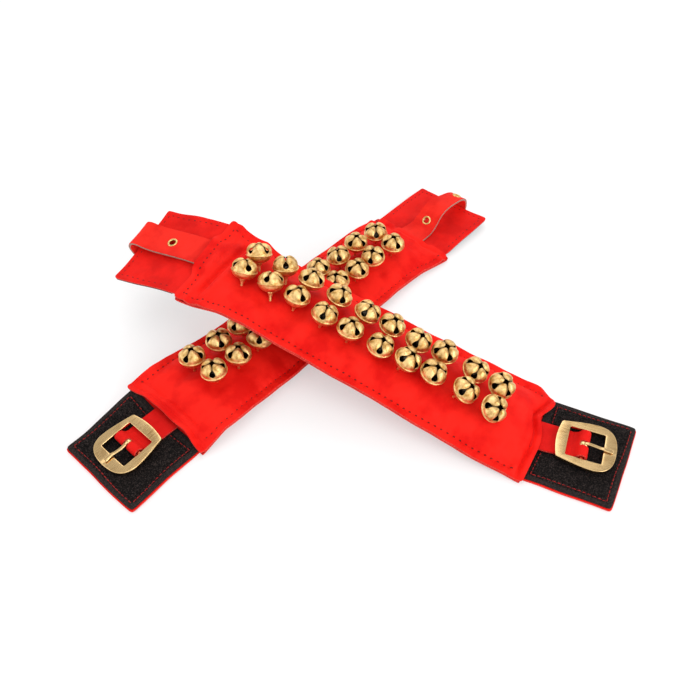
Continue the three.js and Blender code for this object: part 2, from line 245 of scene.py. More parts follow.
class Mesh:
    """Vertices and faces in millimetres that become one object."""

    def __init__(self) -> None:
        """Starts with nothing."""
        self.points: list[Grid] = []
        self.faces: list[list[int]] = []
        self.slots: list[int] = []
        self.count = 0

    def add(self, points: Grid) -> int:
        """Takes points in.

        Args:
            points: The points, in any grid.

        Returns:
            The number of the first.
        """
        first = self.count
        flat = np.asarray(points, float).reshape(-1, 3)
        self.points.append(flat)
        self.count += len(flat)
        return first

    def face(self, corners: Sequence[int], slot: int = 0) -> None:
        """Takes one face in."""
        self.faces.append([int(c) for c in corners])
        self.slots.append(slot)

    def skin(
        self,
        points: Grid,
        slot: int = 0,
        loop_u: bool = False,
        loop_v: bool = False,
        keep: Grid | None = None,
        turn: bool = False,
    ) -> int:
        """Takes a grid of points in as quads.

        Args:
            points: The grid, n by m by 3.
            slot: The material slot.
            loop_u: True if the last row joins the first.
            loop_v: True if the last column joins the first.
            keep: Which quads are made, all if left out.
            turn: True to face the other way.

        Returns:
            The number of the first vertex.
        """
        n, m = points.shape[:2]
        first = self.add(points)
        for i in range(n if loop_u else n - 1):
            for j in range(m if loop_v else m - 1):
                if keep is not None and not keep[i, j]:
                    continue
                k, q = (i + 1) % n, (j + 1) % m
                quad = [first + i * m + j, first + k * m + j, first + k * m + q, first + i * m + q]
                self.face(quad[::-1] if turn else quad, slot)
        return first

    def slab(self, top: Grid, bottom: Grid, slots: tuple[int, int, int] = (0, 0, 0)) -> None:
        """Takes a closed sheet in, from its two skins.

        Args:
            top: The upper grid of points.
            bottom: The lower grid, of the same shape.
            slots: Material slots of the top, the underside and the edge.
        """
        n, m = top.shape[:2]
        a = self.skin(top, slots[0])
        b = self.skin(bottom, slots[1], turn=True)
        rim = [(i, 0) for i in range(n - 1)] + [(n - 1, j) for j in range(m - 1)]
        rim += [(i, m - 1) for i in range(n - 1, 0, -1)] + [(0, j) for j in range(m - 1, 0, -1)]
        for (i, j), (k, q) in zip(rim, rim[1:] + rim[:1]):
            self.face([a + i * m + j, b + i * m + j, b + k * m + q, a + k * m + q], slots[2])

    def lathe(self, profile: Sequence[Pair], sides: int, slot: int = 0) -> int:
        """Takes in a surface turned about Z.

        Args:
            profile: Radius and height of each ring, in order.
            sides: Points round each ring.
            slot: The material slot.

        Returns:
            The number of the first vertex.
        """
        angle = circle(sides)
        rings = [stack(r * np.cos(angle), r * np.sin(angle), z) for r, z in profile]
        return self.skin(np.array(rings), slot, loop_v=True, turn=True)

    def cap(self, first: int, rings: int, sides: int) -> None:
        """Closes both ends of a tube that was taken in as a skin."""
        self.face([first + j for j in range(sides)])
        self.face([first + (rings - 1) * sides + j for j in reversed(range(sides))])

    def build(
        self, name: str, materials: Sequence[Material], weld: float = 0.0
    ) -> Object:
        """Makes the object.

        Args:
            name: Its name.
            materials: Its materials, by slot.
            weld: Points closer than this become one, in millimetres.

        Returns:
            The object, linked to the scene and shaded smooth.
        """
        mesh = bpy.data.meshes.new(name)
        mesh.from_pydata((np.concatenate(self.points) * MM).tolist(), [], self.faces)
        for material in materials:
            mesh.materials.append(material)
        mesh.polygons.foreach_set("material_index", self.slots)
        mesh.polygons.foreach_set("use_smooth", [True] * len(self.faces))
        work = bmesh.new()
        work.from_mesh(mesh)
        if weld:
            bmesh.ops.remove_doubles(work, verts=work.verts, dist=weld * MM)
        bmesh.ops.recalc_face_normals(work, faces=work.faces)
        work.to_mesh(mesh)
        work.free()
        obj = bpy.data.objects.new(name, mesh)
        bpy.context.scene.collection.objects.link(obj)
        return obj


def subdivide(obj: Object, level: int = 1) -> None:
    """Rounds an object's mesh with a subdivision surface."""
    modifier = obj.modifiers.new("rounded", "SUBSURF")
    modifier.levels = modifier.render_levels = level


def thicken(
    obj: Object, thickness: float, offset: float, rim: int, inside: int = 0
) -> None:
    """Gives a bare skin its thickness.

    Args:
        obj: The object.
        thickness: In millimetres.
        offset: -1 for inwards, 0 for both ways.
        rim: How many material slots on the cut edges are.
        inside: How many material slots on the inner skin is.
    """
    modifier = obj.modifiers.new("thickness", "SOLIDIFY")
    modifier.thickness = thickness * MM
    modifier.offset = offset
    modifier.use_even_offset = True
    modifier.material_offset_rim = rim
    modifier.material_offset = inside


def baked(obj: Object) -> bpy.types.Mesh:
    """The object's mesh with its modifiers applied; the object itself goes.

    Args:
        obj: The object.

    Returns:
        The mesh.
    """
    graph = bpy.context.evaluated_depsgraph_get()
    mesh = bpy.data.meshes.new_from_object(obj.evaluated_get(graph))
    bpy.data.objects.remove(obj)
    return mesh


def dress(obj: Object, body: str = "", node: str = "") -> None:
    """Hangs a piece on the body it moves with, and hides the solid it stands for.

    Args:
        obj: The piece.
        body: The body it moves with; left out for the sheets that reach from one body to another.
        node: The solid that it stands for, if any.
    """
    if body:
        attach(obj, body)
    if node:
        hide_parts(node)


def bend(sheet: Object, inner: str, outer: str, ends: Grid) -> None:
    """Bakes a sheet's place into its mesh; it turns with neither body.

    Args:
        sheet: The sheet.
        inner: The body on one side of the seam; not used.
        outer: The body on the other side of the seam; not used.
        ends: Two places, in millimetres; not used.
    """
    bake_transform(sheet)


def srgb(code: str) -> tuple[float, float, float, float]:
    """Linear colour of an sRGB hex value such as 'F02A20'.

    Args:
        code: The hex value.

    Returns:
        Red, green and blue, and 1 for opaque.
    """
    parts = [int(code[i : i + 2], 16) / 255 for i in (0, 2, 4)]
    linear = [c / 12.92 if c <= 0.04045 else ((c + 0.055) / 1.055) ** 2.4 for c in parts]
    return (*linear, 1.0)


def per_mm(size: float) -> float:
    """Texture scale, in object coordinates of metres, at which one cell is this many millimetres."""
    return 1.0 / (size * MM)


# Sockets of a Mix node for colours, which share their names with its other sockets
MIX_SHARE, MIX_FIRST, MIX_SECOND, MIX_RESULT = 0, 6, 7, 2


class Nodes:
    """A node tree under construction."""

    def __init__(self, tree: NodeTree) -> None:
        """Starts with an empty tree."""
        self.tree = tree
        tree.nodes.clear()

    def node(
        self, kind: str, inputs: dict | None = None, stops: dict | None = None, **settings: object
    ) -> Node:
        """Adds a node with its settings and links.

        Args:
            kind: Blender's name for the node.
            inputs: Values, sockets, or nodes for their first socket, by input name or number.
            stops: Linear colours of a colour ramp's two ends, by place.
            **settings: The node's own properties.

        Returns:
            The node.
        """
        made = self.tree.nodes.new(kind)
        for key, value in settings.items():
            setattr(made, key, value)
        for key, value in (inputs or {}).items():
            if isinstance(value, Node):
                value = value.outputs[0]
            if isinstance(value, NodeSocket):
                self.tree.links.new(value, made.inputs[key])
            else:
                made.inputs[key].default_value = value
        if stops:
            for element, (place, colour) in zip(made.color_ramp.elements, stops.items()):
                element.position, element.color = place, colour
        return made

    def shown(self) -> NodeSocket:
        """1 for rays by which the camera sees a surface, directly or in metal or glass."""
        ray = self.node("ShaderNodeLightPath").outputs
        indirect = {0: ray["Is Glossy Ray"], 1: ray["Is Transmission Ray"]}
        seen = {0: ray["Is Camera Ray"], 1: self.node("ShaderNodeMath", indirect, operation="MAXIMUM")}
        return self.node("ShaderNodeMath", seen, operation="MAXIMUM").outputs[0]


class Paint(Nodes):
    """A material under construction, its shader already joined to the output."""

    def __init__(self, name: str, **shader: object) -> None:
        """Makes the material and its shader.

        Args:
            name: The material's name.
            **shader: Shader sockets, by name with underscores for spaces.
        """
        self.material = bpy.data.materials.new(name)
        self.material.use_nodes = True
        super().__init__(self.material.node_tree)
        self.shader = self.node("ShaderNodeBsdfPrincipled")
        for socket, value in shader.items():
            self.shader.inputs[socket.replace("_", " ")].default_value = value
        self.out = self.node("ShaderNodeOutputMaterial", {"Surface": self.shader})
        self.place = self.node("ShaderNodeTexCoord").outputs["Object"]

    def pattern(self, size: float, **more: object) -> dict:
        """Inputs of a texture with cells of a size.

        Args:
            size: One cell or swell, in millimetres.
            **more: Other inputs.

        Returns:
            The inputs, by name.
        """
        return {"Vector": self.place, "Scale": per_mm(size), **more}

    def finish(self, **sockets: Node | NodeSocket) -> Material:
        """Joins the shader's sockets, by name with underscores for spaces.

        Args:
            **sockets: What each is joined to.

        Returns:
            The material.
        """
        for socket, value in sockets.items():
            value = value.outputs[0] if isinstance(value, Node) else value
            self.tree.links.new(value, self.shader.inputs[socket.replace("_", " ")])
        return self.material


def spread(noisy: Node, ends: Pair) -> dict:
    """Inputs that spread noise, most of which lies from 0.25 to 0.75, between two values."""
    return {"Value": noisy, "From Min": 0.25, "From Max": 0.75, "To Min": ends[0], "To Max": ends[1]}


@dataclass(frozen=True)
class Finish:
    """What every finish has: its material's name, its colour and a darker shade of it."""

    name: str
    colour: str
    shade: str

    def tones(self, dark: float, light: float) -> dict:
        """Stops of a colour ramp from the shade to the colour."""
        return {dark: srgb(self.shade), light: srgb(self.colour)}


@dataclass(frozen=True)
class SoftLeather(Finish):
    """Chrome-tanned goat leather, drum-dyed and left matt: fine pebbled grain, little gloss."""

    grain: float = 0.6
    roughness: Pair = (0.6, 0.76)
    sheen: float = 0.03
    grain_depth: float = 0.06
    draw_mark: float = 3.2
    draw_depth: float = 0.34
    dye_cloud: float = 13.0
    rubbed_patch: float = 5.0

    def make(self) -> Material:
        """Makes the material: pebbled grain, faint draw marks and cloudy dye."""
        paint = Paint(
            self.name,
            IOR=1.5,
            Specular_IOR_Level=0.10,
            Sheen_Weight=self.sheen,
            Sheen_Roughness=0.45,
            Sheen_Tint=srgb("FF8A78"),
        )
        dye = paint.node("ShaderNodeTexNoise", paint.pattern(self.dye_cloud, Detail=7.0))
        patch = paint.node("ShaderNodeTexNoise", paint.pattern(self.rubbed_patch, Detail=2.0))
        pebbles = paint.node("ShaderNodeTexVoronoi", paint.pattern(self.grain, Randomness=1.0))
        pebbled = {"Height": pebbles, "Distance": self.grain_depth * MM, "Strength": 0.35}
        grain = paint.node("ShaderNodeBump", pebbled)
        marks = paint.node("ShaderNodeTexNoise", paint.pattern(self.draw_mark, Detail=4.0))
        drawn = {"Height": marks, "Distance": self.draw_depth * MM, "Strength": 0.34, "Normal": grain}
        return paint.finish(
            Base_Color=paint.node("ShaderNodeValToRGB", {"Fac": dye}, self.tones(0.36, 0.56)),
            Roughness=paint.node("ShaderNodeMapRange", spread(patch, self.roughness)),
            Normal=paint.node("ShaderNodeBump", drawn),
        )


@dataclass(frozen=True)
class SplitEdge(Finish):
    """Cut edge of leather: undyed fibre, dull and finely ragged."""

    fibre: float = 0.5
    depth: float = 0.18

    def make(self) -> Material:
        """Makes the material: a felt of short fibres."""
        paint = Paint(self.name, IOR=1.5, Specular_IOR_Level=0.15, Roughness=0.9)
        felt = paint.node("ShaderNodeTexNoise", paint.pattern(self.fibre, Detail=3.0))
        ragged = {"Height": felt, "Distance": self.depth * MM, "Strength": 0.6}
        return paint.finish(
            Base_Color=paint.node("ShaderNodeValToRGB", {"Fac": felt}, self.tones(0.3, 0.7)),
            Normal=paint.node("ShaderNodeBump", ragged),
        )


@dataclass(frozen=True)
class SewingThread(Finish):
    """Spun polyester sewing thread: dull strands twisted round each other."""

    strand: float = 0.35
    coarser: float = 6.0
    depth: float = 0.05

    def make(self) -> Material:
        """Makes the material: slanted strands, drawn coarser than they are so that they show."""
        paint = Paint(self.name, IOR=1.52, Specular_IOR_Level=0.3, Roughness=0.7)
        strands = paint.pattern(self.strand * self.coarser, Distortion=1.5)
        twist = paint.node("ShaderNodeTexWave", strands, bands_direction="DIAGONAL").outputs["Fac"]
        ridges = {"Height": twist, "Distance": self.depth * MM, "Strength": 0.4}
        return paint.finish(
            Base_Color=paint.node("ShaderNodeValToRGB", {"Fac": twist}, self.tones(0.1, 0.9)),
            Normal=paint.node("ShaderNodeBump", ridges),
        )


@dataclass(frozen=True)
class NylonTape(Finish):
    """Black nylon fastening tape: matted filaments, some of which catch the light as grey specks."""

    speck: float
    share: Pair
    depth: float = 0.6

    def make(self) -> Material:
        """Makes the material: a grey for each speck, most of them near black, and a rough height."""
        paint = Paint(self.name, IOR=1.53, Specular_IOR_Level=0.16, Roughness=0.8)
        specks = paint.node("ShaderNodeTexVoronoi", paint.pattern(self.speck, Randomness=1.0))
        grey = paint.node("ShaderNodeSeparateColor", {"Color": specks.outputs["Color"]})
        matted = paint.node("ShaderNodeTexNoise", paint.pattern(self.speck, Detail=3.0))
        rough = {"Height": matted, "Distance": self.depth * MM, "Strength": 0.8}
        return paint.finish(
            Base_Color=paint.node("ShaderNodeValToRGB", {"Fac": grey}, self.tones(*self.share)),
            Normal=paint.node("ShaderNodeBump", rough),
        )


@dataclass(frozen=True)
class BellBrass(Finish):
    """Sheet brass pressed over a rough die and tumbled: warm gold, a sandy skin, brown tarnish."""

    roughness: Pair
    stipple: float
    # Dark brown blended into the creases between the petals as painted shade
    crease_shade: str = "553812"
    stipple_depth: float = 0.14
    dent: float = 1.6
    dent_depth: float = 0.26
    tarnish_cloud: float = 2.2
    rubbed_patch: float = 0.9

    def make(self) -> Material:
        """Makes the material: stipple drawn coarse enough to show, cloudy tarnish, and painted shade in
        the creases.
        """
        paint = Paint(self.name, Metallic=1.0)
        cloud = paint.node("ShaderNodeTexNoise", paint.pattern(self.tarnish_cloud, Detail=6.0))
        clean = paint.node("ShaderNodeValToRGB", {"Fac": cloud}, self.tones(0.34, 0.60))
        crease = paint.node("ShaderNodeAttribute", attribute_name="crease").outputs["Fac"]
        # Painted shade: the colour goes toward dark brown where the crease mark is high
        shaded_creases = {MIX_SHARE: crease, MIX_FIRST: clean, MIX_SECOND: srgb(self.crease_shade)}
        patch = paint.node("ShaderNodeTexNoise", paint.pattern(self.rubbed_patch, Detail=3.0))
        stipple = paint.node("ShaderNodeTexVoronoi", paint.pattern(self.stipple, Randomness=1.0))
        sandy = {"Height": stipple, "Distance": self.stipple_depth * MM, "Strength": 0.8}
        pits = paint.node("ShaderNodeBump", sandy)
        dents = paint.node("ShaderNodeTexNoise", paint.pattern(self.dent, Detail=4.0))
        uneven = {"Height": dents, "Distance": self.dent_depth * MM, "Strength": 0.36, "Normal": pits}
        return paint.finish(
            Base_Color=paint.node("ShaderNodeMix", shaded_creases, data_type="RGBA").outputs[MIX_RESULT],
            Roughness=paint.node("ShaderNodeMapRange", spread(patch, self.roughness)),
            Normal=paint.node("ShaderNodeBump", uneven),
        )


@dataclass(frozen=True)
class BrushedBrass(Finish):
    """Brass plate, linished lengthwise and lacquered: pale gold with fine straight scratches."""

    scratch: float
    roughness: Pair
    scratch_depth: float = 0.04
    stretch: Place = (0.06, 1.0, 0.3)
    worn_patch: float = 9.0

    def make(self) -> Material:
        """Makes the material: streaks along the brushing, drawn coarse enough to show."""
        paint = Paint(self.name, Metallic=1.0, Anisotropic=0.45)
        drawn = paint.node("ShaderNodeMapping", {"Vector": paint.place, "Scale": self.stretch})
        streak = paint.node("ShaderNodeTexNoise", paint.pattern(self.scratch, Vector=drawn, Detail=3.0))
        cloud = paint.node("ShaderNodeTexNoise", paint.pattern(self.worn_patch, Detail=2.0))
        worn = paint.node("ShaderNodeMath", {0: streak, 1: cloud}, operation="ADD")
        scratches = {"Height": streak, "Distance": self.scratch_depth * MM, "Strength": 0.2}
        return paint.finish(
            Base_Color=paint.node("ShaderNodeValToRGB", {"Fac": worn}, self.tones(0.58, 1.0)),
            Roughness=paint.node("ShaderNodeMapRange", spread(streak, self.roughness)),
            Normal=paint.node("ShaderNodeBump", scratches),
        )


@dataclass(frozen=True)
class Finishes:
    """Every finish on the pair, made once."""

    leather: Material
    tab_leather: Material
    strap_leather: Material
    clasp_leather: Material
    lining: Material
    strap_edge: Material
    pad_edge: Material
    dark_thread: Material
    red_thread: Material
    ground: Material
    pile: Material
    bell: Material
    bell_inside: Material
    buckle: Material
    eyelet: Material
    pellet: Material

    @classmethod
    def make(cls) -> "Finishes":
        """Makes all the materials."""
        lining = SoftLeather("goat_leather_lining_red", "CC1C14", "AC0F0B", 0.8, (0.7, 0.85))
        return cls(
            leather=SoftLeather("goat_leather_drum_dyed_red", "F02016", "DA0F09").make(),
            # A darker copy of the face's red leather, for the hook tab
            tab_leather=SoftLeather("goat_leather_red_darker_tab", "E41810", "CE0F09").make(),
            strap_leather=SoftLeather("goat_leather_belly_cut_red", "EA281C", "D61A11").make(),
            # A darker copy of the face's red leather: painted shade for the short strap, which lies deep
            # in the buckle's window
            clasp_leather=SoftLeather("goat_leather_red_shaded_clasp", "DE1813", "C80D0A").make(),
            lining=lining.make(),
            strap_edge=SplitEdge("split_leather_cut_edge", "B49C8E", "7C6258").make(),
            pad_edge=SplitEdge("dyed_leather_cut_edge", "F2544A", "B3180F").make(),
            # Dark red seam thread, taken darker still as painted shade for the needle holes at each
            # stitch's ends
            dark_thread=SewingThread("polyester_thread_maroon_hole_shade", "840C09", "460504").make(),
            red_thread=SewingThread("polyester_thread_red", "B21711", "6C0705").make(),
            ground=NylonTape("nylon_tape_woven_ground", "3A3230", "1C1615", 0.35, (0.4, 1.0)).make(),
            pile=NylonTape("nylon_tape_brushed_loops", "3C3331", "050202", 0.4, (0.55, 1.0)).make(),
            bell=BellBrass("brass_pressed_and_tumbled", "F4CF8E", "BC8C48", (0.30, 0.48), 0.45).make(),
            bell_inside=BellBrass("brass_oxidised_inside", "3A2710", "120A03", (0.55, 0.75), 0.6).make(),
            buckle=BrushedBrass("brass_plate_linished", "DEBC86", "B8905A", 0.28, (0.17, 0.27)).make(),
            eyelet=BrushedBrass("brass_eyelet_rolled", "E2C07C", "A87E3C", 0.4, (0.22, 0.32)).make(),
            pellet=BellBrass("steel_shot_rusted", "6F675C", "3A322A", (0.35, 0.5), 0.8).make(),
        )


def flank_lift(x: Grid, y: Grid) -> Grid:
    """How the lower pad's sewn edges stand off the floor, because it is stuffed.

    Args:
        x: Positions along the flat rectangle.
        y: Positions across.

    Returns:
        The lift at each place.
    """
    near = np.interp(x, (-225, -197, -180, -150, -60, -35, -15, -6, 0), (2, 0, 1.5, 3, 3.5, 5, 5.5, 2, 0))
    far = np.interp(x, (-60, -35, -15, -6, 0), (0.0, 3.0, 6.5, 5.2, 3.8))
    return np.where(y > 0, near, far) * fade(np.abs(y), PAD_WIDTH / 2, 8.0)


def strap_end_curl(x: Grid, y: Grid) -> Grid:
    """Upward curl of the upper band: most at its strap end's far corner, and along its near edge.

    Args:
        x: Positions along the flat rectangle.
        y: Positions across.

    Returns:
        The lift at each place.
    """
    far = np.clip((y + PAD_WIDTH / 2) / PAD_WIDTH, 0.0, 1.1) ** 2
    end = fade(-x, 208.0, 148.0)
    near = np.interp(x, (-195, -185, -168, -150, -110, -75, -25), (0.0, 1.5, 8.0, 8.5, 5.0, 4.2, 0.0))
    return 9.0 * end * far + near * fade(-y, PAD_WIDTH / 2, 2.0)


def arched_lip(y: Grid) -> Grid:
    """A buckle-end lip drawn back a little over the strap, in millimetres by place across."""
    return 2.0 * fade(np.abs(y), 13.0, 25.0)


def drawn_lip(y: Grid) -> Grid:
    """A buckle-end lip drawn back beside the strap, in millimetres by place across."""
    return 4.4 * hump(y - 10.5, 8.5)


@dataclass(frozen=True)
class Lay:
    """Where one band lies, how its parts stand to each other and how the soft ones bend.

    Angles are degrees.

    Attributes:
        name: The band's name.
        seam: Where the buckle end's seam is, in the row frame.
        heading: Which way the buckle end points.
        pitch: How steeply the pad lies.
        side: Which side the bells lean to, 1 or -1.
        seed: Picks the band's own waves.
        leans: Lean of the bells at the strap end and at the buckle end.
        nods: Usual tip of the bells' heads about both axes, at the strap end and at the buckle end.
        sways: How far each bell's middle stands off its seat, along and across, as photographed.
        hook_bend: Bend of the strap end against the pad.
        hook_shift: How far the strap end is pulled across.
        strap_shift: How far the eyelet strap lies off the middle.
        loop_sway: How far the loop tab's end is pulled across.
        buckle_turn: How askew the short strap and its buckle lie.
        buckle_dip: How far the buckle is tipped about its bar.
        strap_taper: How much the eyelet strap narrows, per millimetre.
        strap_lip: How far the face reaches over the eyelet strap.
        buckle_rise: Rise of the face over the short strap.
        buckle_arch: Where that rise ends across, and over how long a ramp.
        buckle_draw: How far the face's far corner is drawn in at the buckle end.
        loop_lift: Lift of the loop tab's far root corner.
        droop: How far the face's corners hang beside the hook tab.
        lip_sewn: True if a seam runs across the strap end.
        prong_sway: Sideways bow of the prong.
        hem: Distance of the buckle end's hem crease from the edge, and its depth.
        fold: Distance of the slack fold from the strap end, its slant and its depth.
        eyelets: Distances of the eyelets along the strap.
        strap_knots: The eyelet strap's side view: shares of the tab's length, and heights over it.
        curl: Lift of the pad's edges by place on it.
        lip: How far the buckle end's lip is drawn back, by place across.
        nod_spread: How much the bells' heads differ.
    """

    name: str
    seam: Pair
    heading: float
    pitch: float
    side: int
    seed: float
    leans: Pair
    nods: tuple[Pair, Pair]
    sways: tuple[Pair, ...]
    hook_bend: float
    hook_shift: float
    strap_shift: float
    loop_sway: float
    buckle_turn: float
    buckle_dip: float
    strap_taper: float
    strap_lip: float
    buckle_rise: float
    buckle_arch: Pair
    buckle_draw: float
    loop_lift: float
    droop: float
    lip_sewn: bool
    prong_sway: float
    hem: Pair
    fold: Place
    eyelets: tuple[float, ...]
    strap_knots: tuple[Pair, ...]
    curl: Surface
    lip: Callable[[Grid], Grid]
    nod_spread: float = 9.0

    def buckle_frame(self) -> Matrix:
        """Frame at the buckle-end seam, X outwards."""
        return Matrix.Translation((*self.seam, 0)) @ Matrix.Rotation(math.radians(self.heading), 4, "Z")

    def clasp_frame(self) -> Matrix:
        """Frame of the short strap and its buckle, which lie askew on the tab."""
        return self.buckle_frame() @ Matrix.Rotation(math.radians(self.buckle_turn), 4, "Z")

    def pad_frame(self) -> Matrix:
        """Frame of the pad: x from -PAD_LENGTH at the strap end to 0."""
        tip = Matrix.Translation((0, 0, LOOP_AXIS))
        slope = Matrix.Rotation(math.radians(self.pitch), 4, "Y")
        return self.buckle_frame() @ tip @ slope @ tip.inverted()

    def hook_frame(self) -> Matrix:
        """Frame at the strap-end seam, X outwards."""
        axis = Matrix.Translation((0, 0, HOOK_AXIS))
        tilt = Matrix.Rotation(math.radians(self.hook_bend), 4, "Y") @ Matrix.Rotation(math.pi, 4, "Z")
        end = Matrix.Translation((-PAD_LENGTH, self.hook_shift, 0))
        return self.pad_frame() @ end @ axis @ tilt @ axis.inverted()

    def bell_frame(self, row: int, column: int) -> Matrix:
        """Frame of one bell at its shank's foot, nodding on the soft leather.

        Args:
            row: 0 or 1.
            column: From the strap end.

        Returns:
            The frame, Z up the shank, in millimetres.
        """
        x = FIRST_COLUMN + column * COLUMN_PITCH - PAD_LENGTH
        y = (row - 0.5) * ROW_SPACING
        number = row * COLUMNS + column
        share = column / (COLUMNS - 1)
        lean = self.leans[0] + (self.leans[1] - self.leans[0]) * share
        chance = np.random.default_rng([int(self.seed * 10), number]).uniform(-1, 1, 2)
        usual = np.array(self.nods[0]) * (1.0 - share) + np.array(self.nods[1]) * share
        nod = np.radians(usual + chance * self.nod_spread)
        middle = Matrix.Translation((0, 0, EQUATOR))
        seat = Matrix.Translation((x, y, float(crown(np.array(x), np.array(y))) - SHANK_SEAT))
        along, across = np.array(self.sways[number]) / EQUATOR
        leaning = Matrix.Rotation(-self.side * math.radians(lean) - across, 4, "X")
        leaning = leaning @ Matrix.Rotation(along, 4, "Y")
        nodding = Matrix.Rotation(nod[0], 4, "X") @ Matrix.Rotation(nod[1], 4, "Y")
        turning = Matrix.Rotation(math.radians(BELL_TURN * number), 4, "Z")
        return self.pad_frame() @ seat @ leaning @ middle @ nodding @ middle.inverted() @ turning

    def on_pad(self, points: Grid) -> Grid:
        """Points of the pad's frame, swayed, laid and curled.

        Args:
            points: The points.

        Returns:
            Where they are in the row frame.
        """
        swayed = points.copy()
        swayed[..., 1] += self.hook_shift * fade(-points[..., 0], PAD_LENGTH, 168.0)
        out = moved(self.pad_frame(), swayed)
        out[..., 2] += self.curl(swayed[..., 0], swayed[..., 1])
        return out

    def on_hook(self, points: Grid) -> Grid:
        """Points of the strap end's frame, laid and curled, in the row frame."""
        out = moved(self.hook_frame(), points)
        out[..., 2] += self.curl(-PAD_LENGTH - points[..., 0], self.hook_shift - points[..., 1])
        return out

    def on_buckle(self, points: Grid) -> Grid:
        """Points of the buckle end's frame, its far end swayed, in the row frame."""
        swayed = points.copy()
        swayed[..., 1] += self.loop_sway * np.clip(points[..., 0] / TAB_LENGTH, 0.0, None)
        return moved(self.buckle_frame(), swayed)

    def on_clasp(self, points: Grid) -> Grid:
        """Points of the short strap's frame, in the row frame."""
        return moved(self.clasp_frame(), points)

    def body(self, name: str) -> str:
        """A body's or node's full name."""
        return f"{self.name}_{name}"


LOWER = Lay(
    name="lower",
    seam=(97.5, 0.0),
    heading=0.0,
    pitch=0.0,
    side=-1,
    seed=1.3,
    leans=(-3.0, 6.0),
    nods=((8.0, -6.0), (0.0, 4.0)),
    sways=(
        (0.2, 2.4), (0.1, 0.4), (0.3, 1.0), (0.3, 0.0), (0.0, 0.0),
        (-0.7, 0.0), (-1.5, 0.0), (-2.0, -0.2), (-2.2, 0.2), (-0.9, -1.2),
        (1.3, 1.7), (2.2, 0.6), (1.3, 1.3), (0.6, 0.0), (0.0, 0.0),
        (-0.7, 0.0), (-1.5, 0.0), (-2.0, -0.3), (-2.3, 0.2), (-2.5, -1.2),
    ),
    hook_bend=0.0,
    hook_shift=3.0,
    strap_shift=0.0,
    loop_sway=2.5,
    buckle_turn=0.0,
    buckle_dip=5.0,
    strap_taper=0.145,
    strap_lip=-2.2,
    buckle_rise=3.6,
    buckle_arch=(25.0, 12.0),
    buckle_draw=0.0,
    loop_lift=4.4,
    droop=3.0,
    lip_sewn=False,
    prong_sway=0.55,
    hem=(3.0, 0.9),
    fold=(13.0, 0.06, 0.7),
    eyelets=(13.5, 43.5),
    strap_knots=(
        (0.0, -0.35), (0.1, -0.3), (0.2, 0.5), (0.305, 3.9), (0.4, 8.2), (0.55, 10.4),
        (0.74, 9.8), (0.9, 8.6), (1.01, 5.6), (1.05, 0.9), (1.04, -3.3),
    ),
    curl=flank_lift,
    lip=arched_lip,
)

UPPER = Lay(
    name="upper",
    seam=(-19.7147, 144.6368),
    heading=104.8,
    pitch=10.5486,
    side=1,
    seed=8.7,
    leans=(14.0, -6.0),
    nods=((-20.0, -9.0), (6.0, 14.0)),
    sways=(
        (-1.6, -0.4), (-1.6, 0.7), (-1.5, 0.8), (0.1, -1.0), (-0.3, -1.2),
        (1.4, -1.2), (0.7, -0.4), (-0.6, 0.5), (1.3, 0.6), (1.6, -0.6),
        (-1.2, -1.5), (-0.8, -0.7), (-1.0, -0.1), (0.6, -0.8), (1.9, -1.5),
        (0.7, -0.9), (0.6, -1.6), (-0.7, 0.3), (1.2, -0.4), (0.3, -0.8),
    ),
    hook_bend=-20.0,
    hook_shift=0.0,
    strap_shift=-3.2,
    loop_sway=1.6,
    buckle_turn=6.9,
    buckle_dip=0.0,
    strap_taper=0.0,
    strap_lip=2.0,
    buckle_rise=1.2,
    buckle_arch=(13.0, 5.0),
    buckle_draw=3.8,
    loop_lift=0.0,
    droop=0.0,
    lip_sewn=True,
    prong_sway=0.15,
    hem=(3.2, 2.5),
    fold=(12.5, 0.12, 3.4),
    eyelets=(22.0,),
    strap_knots=(
        (0.0, 0.0), (0.2, 0.9), (0.46, 1.5), (0.7, 2.0), (0.86, 2.9),
        (0.965, 4.0), (1.05, 3.6), (1.095, 0.9), (1.08, -2.0), (1.06, -3.6),
    ),
    curl=strap_end_curl,
    lip=drawn_lip,
)


def pillow(inset: Grid, rise: float) -> Grid:
    """Share of the full crown at a distance in from a sewn edge."""
    t = np.clip((inset - SEAM_MARGIN) / rise, 0.0, 1.0)
    return t * (2.0 - t)


def crown(x: Grid, y: Grid) -> Grid:
    """Height of the pad's face in the solids.

    Args:
        x: Positions along the flat rectangle.
        y: Positions across.

    Returns:
        The heights.
    """
    along = pillow(np.minimum(-x, x + PAD_LENGTH), END_RISE)
    across = pillow(PAD_WIDTH / 2 - np.abs(y), PAD_WIDTH / 2 - SEAM_MARGIN)
    return PAD_EDGE + (PAD_CROWN - PAD_EDGE) * along * across


def rounded_corners(
    x: Grid, y: Grid, ends: Pair, half: float, radius: float
) -> tuple[Grid, Grid]:
    """Moves points near a rectangle's corners so that its corners are round.

    Args:
        x: Positions along.
        y: Positions across.
        ends: Where it starts and ends along.
        half: Half the width.
        radius: The corners' radius.

    Returns:
        The moved positions.
    """
    a = np.clip((radius - np.minimum(x - ends[0], ends[1] - x)) / radius, 0.0, 1.0)
    b = np.clip((radius - (half - np.abs(y))) / radius, 0.0, 1.0)
    toward_end = np.where(x > sum(ends) / 2, 1.0, -1.0)
    x = x - toward_end * radius * (a - a * np.sqrt(1.0 - b * b / 2.0))
    y = y - np.sign(y) * radius * (b - b * np.sqrt(1.0 - a * a / 2.0))
    return x, y


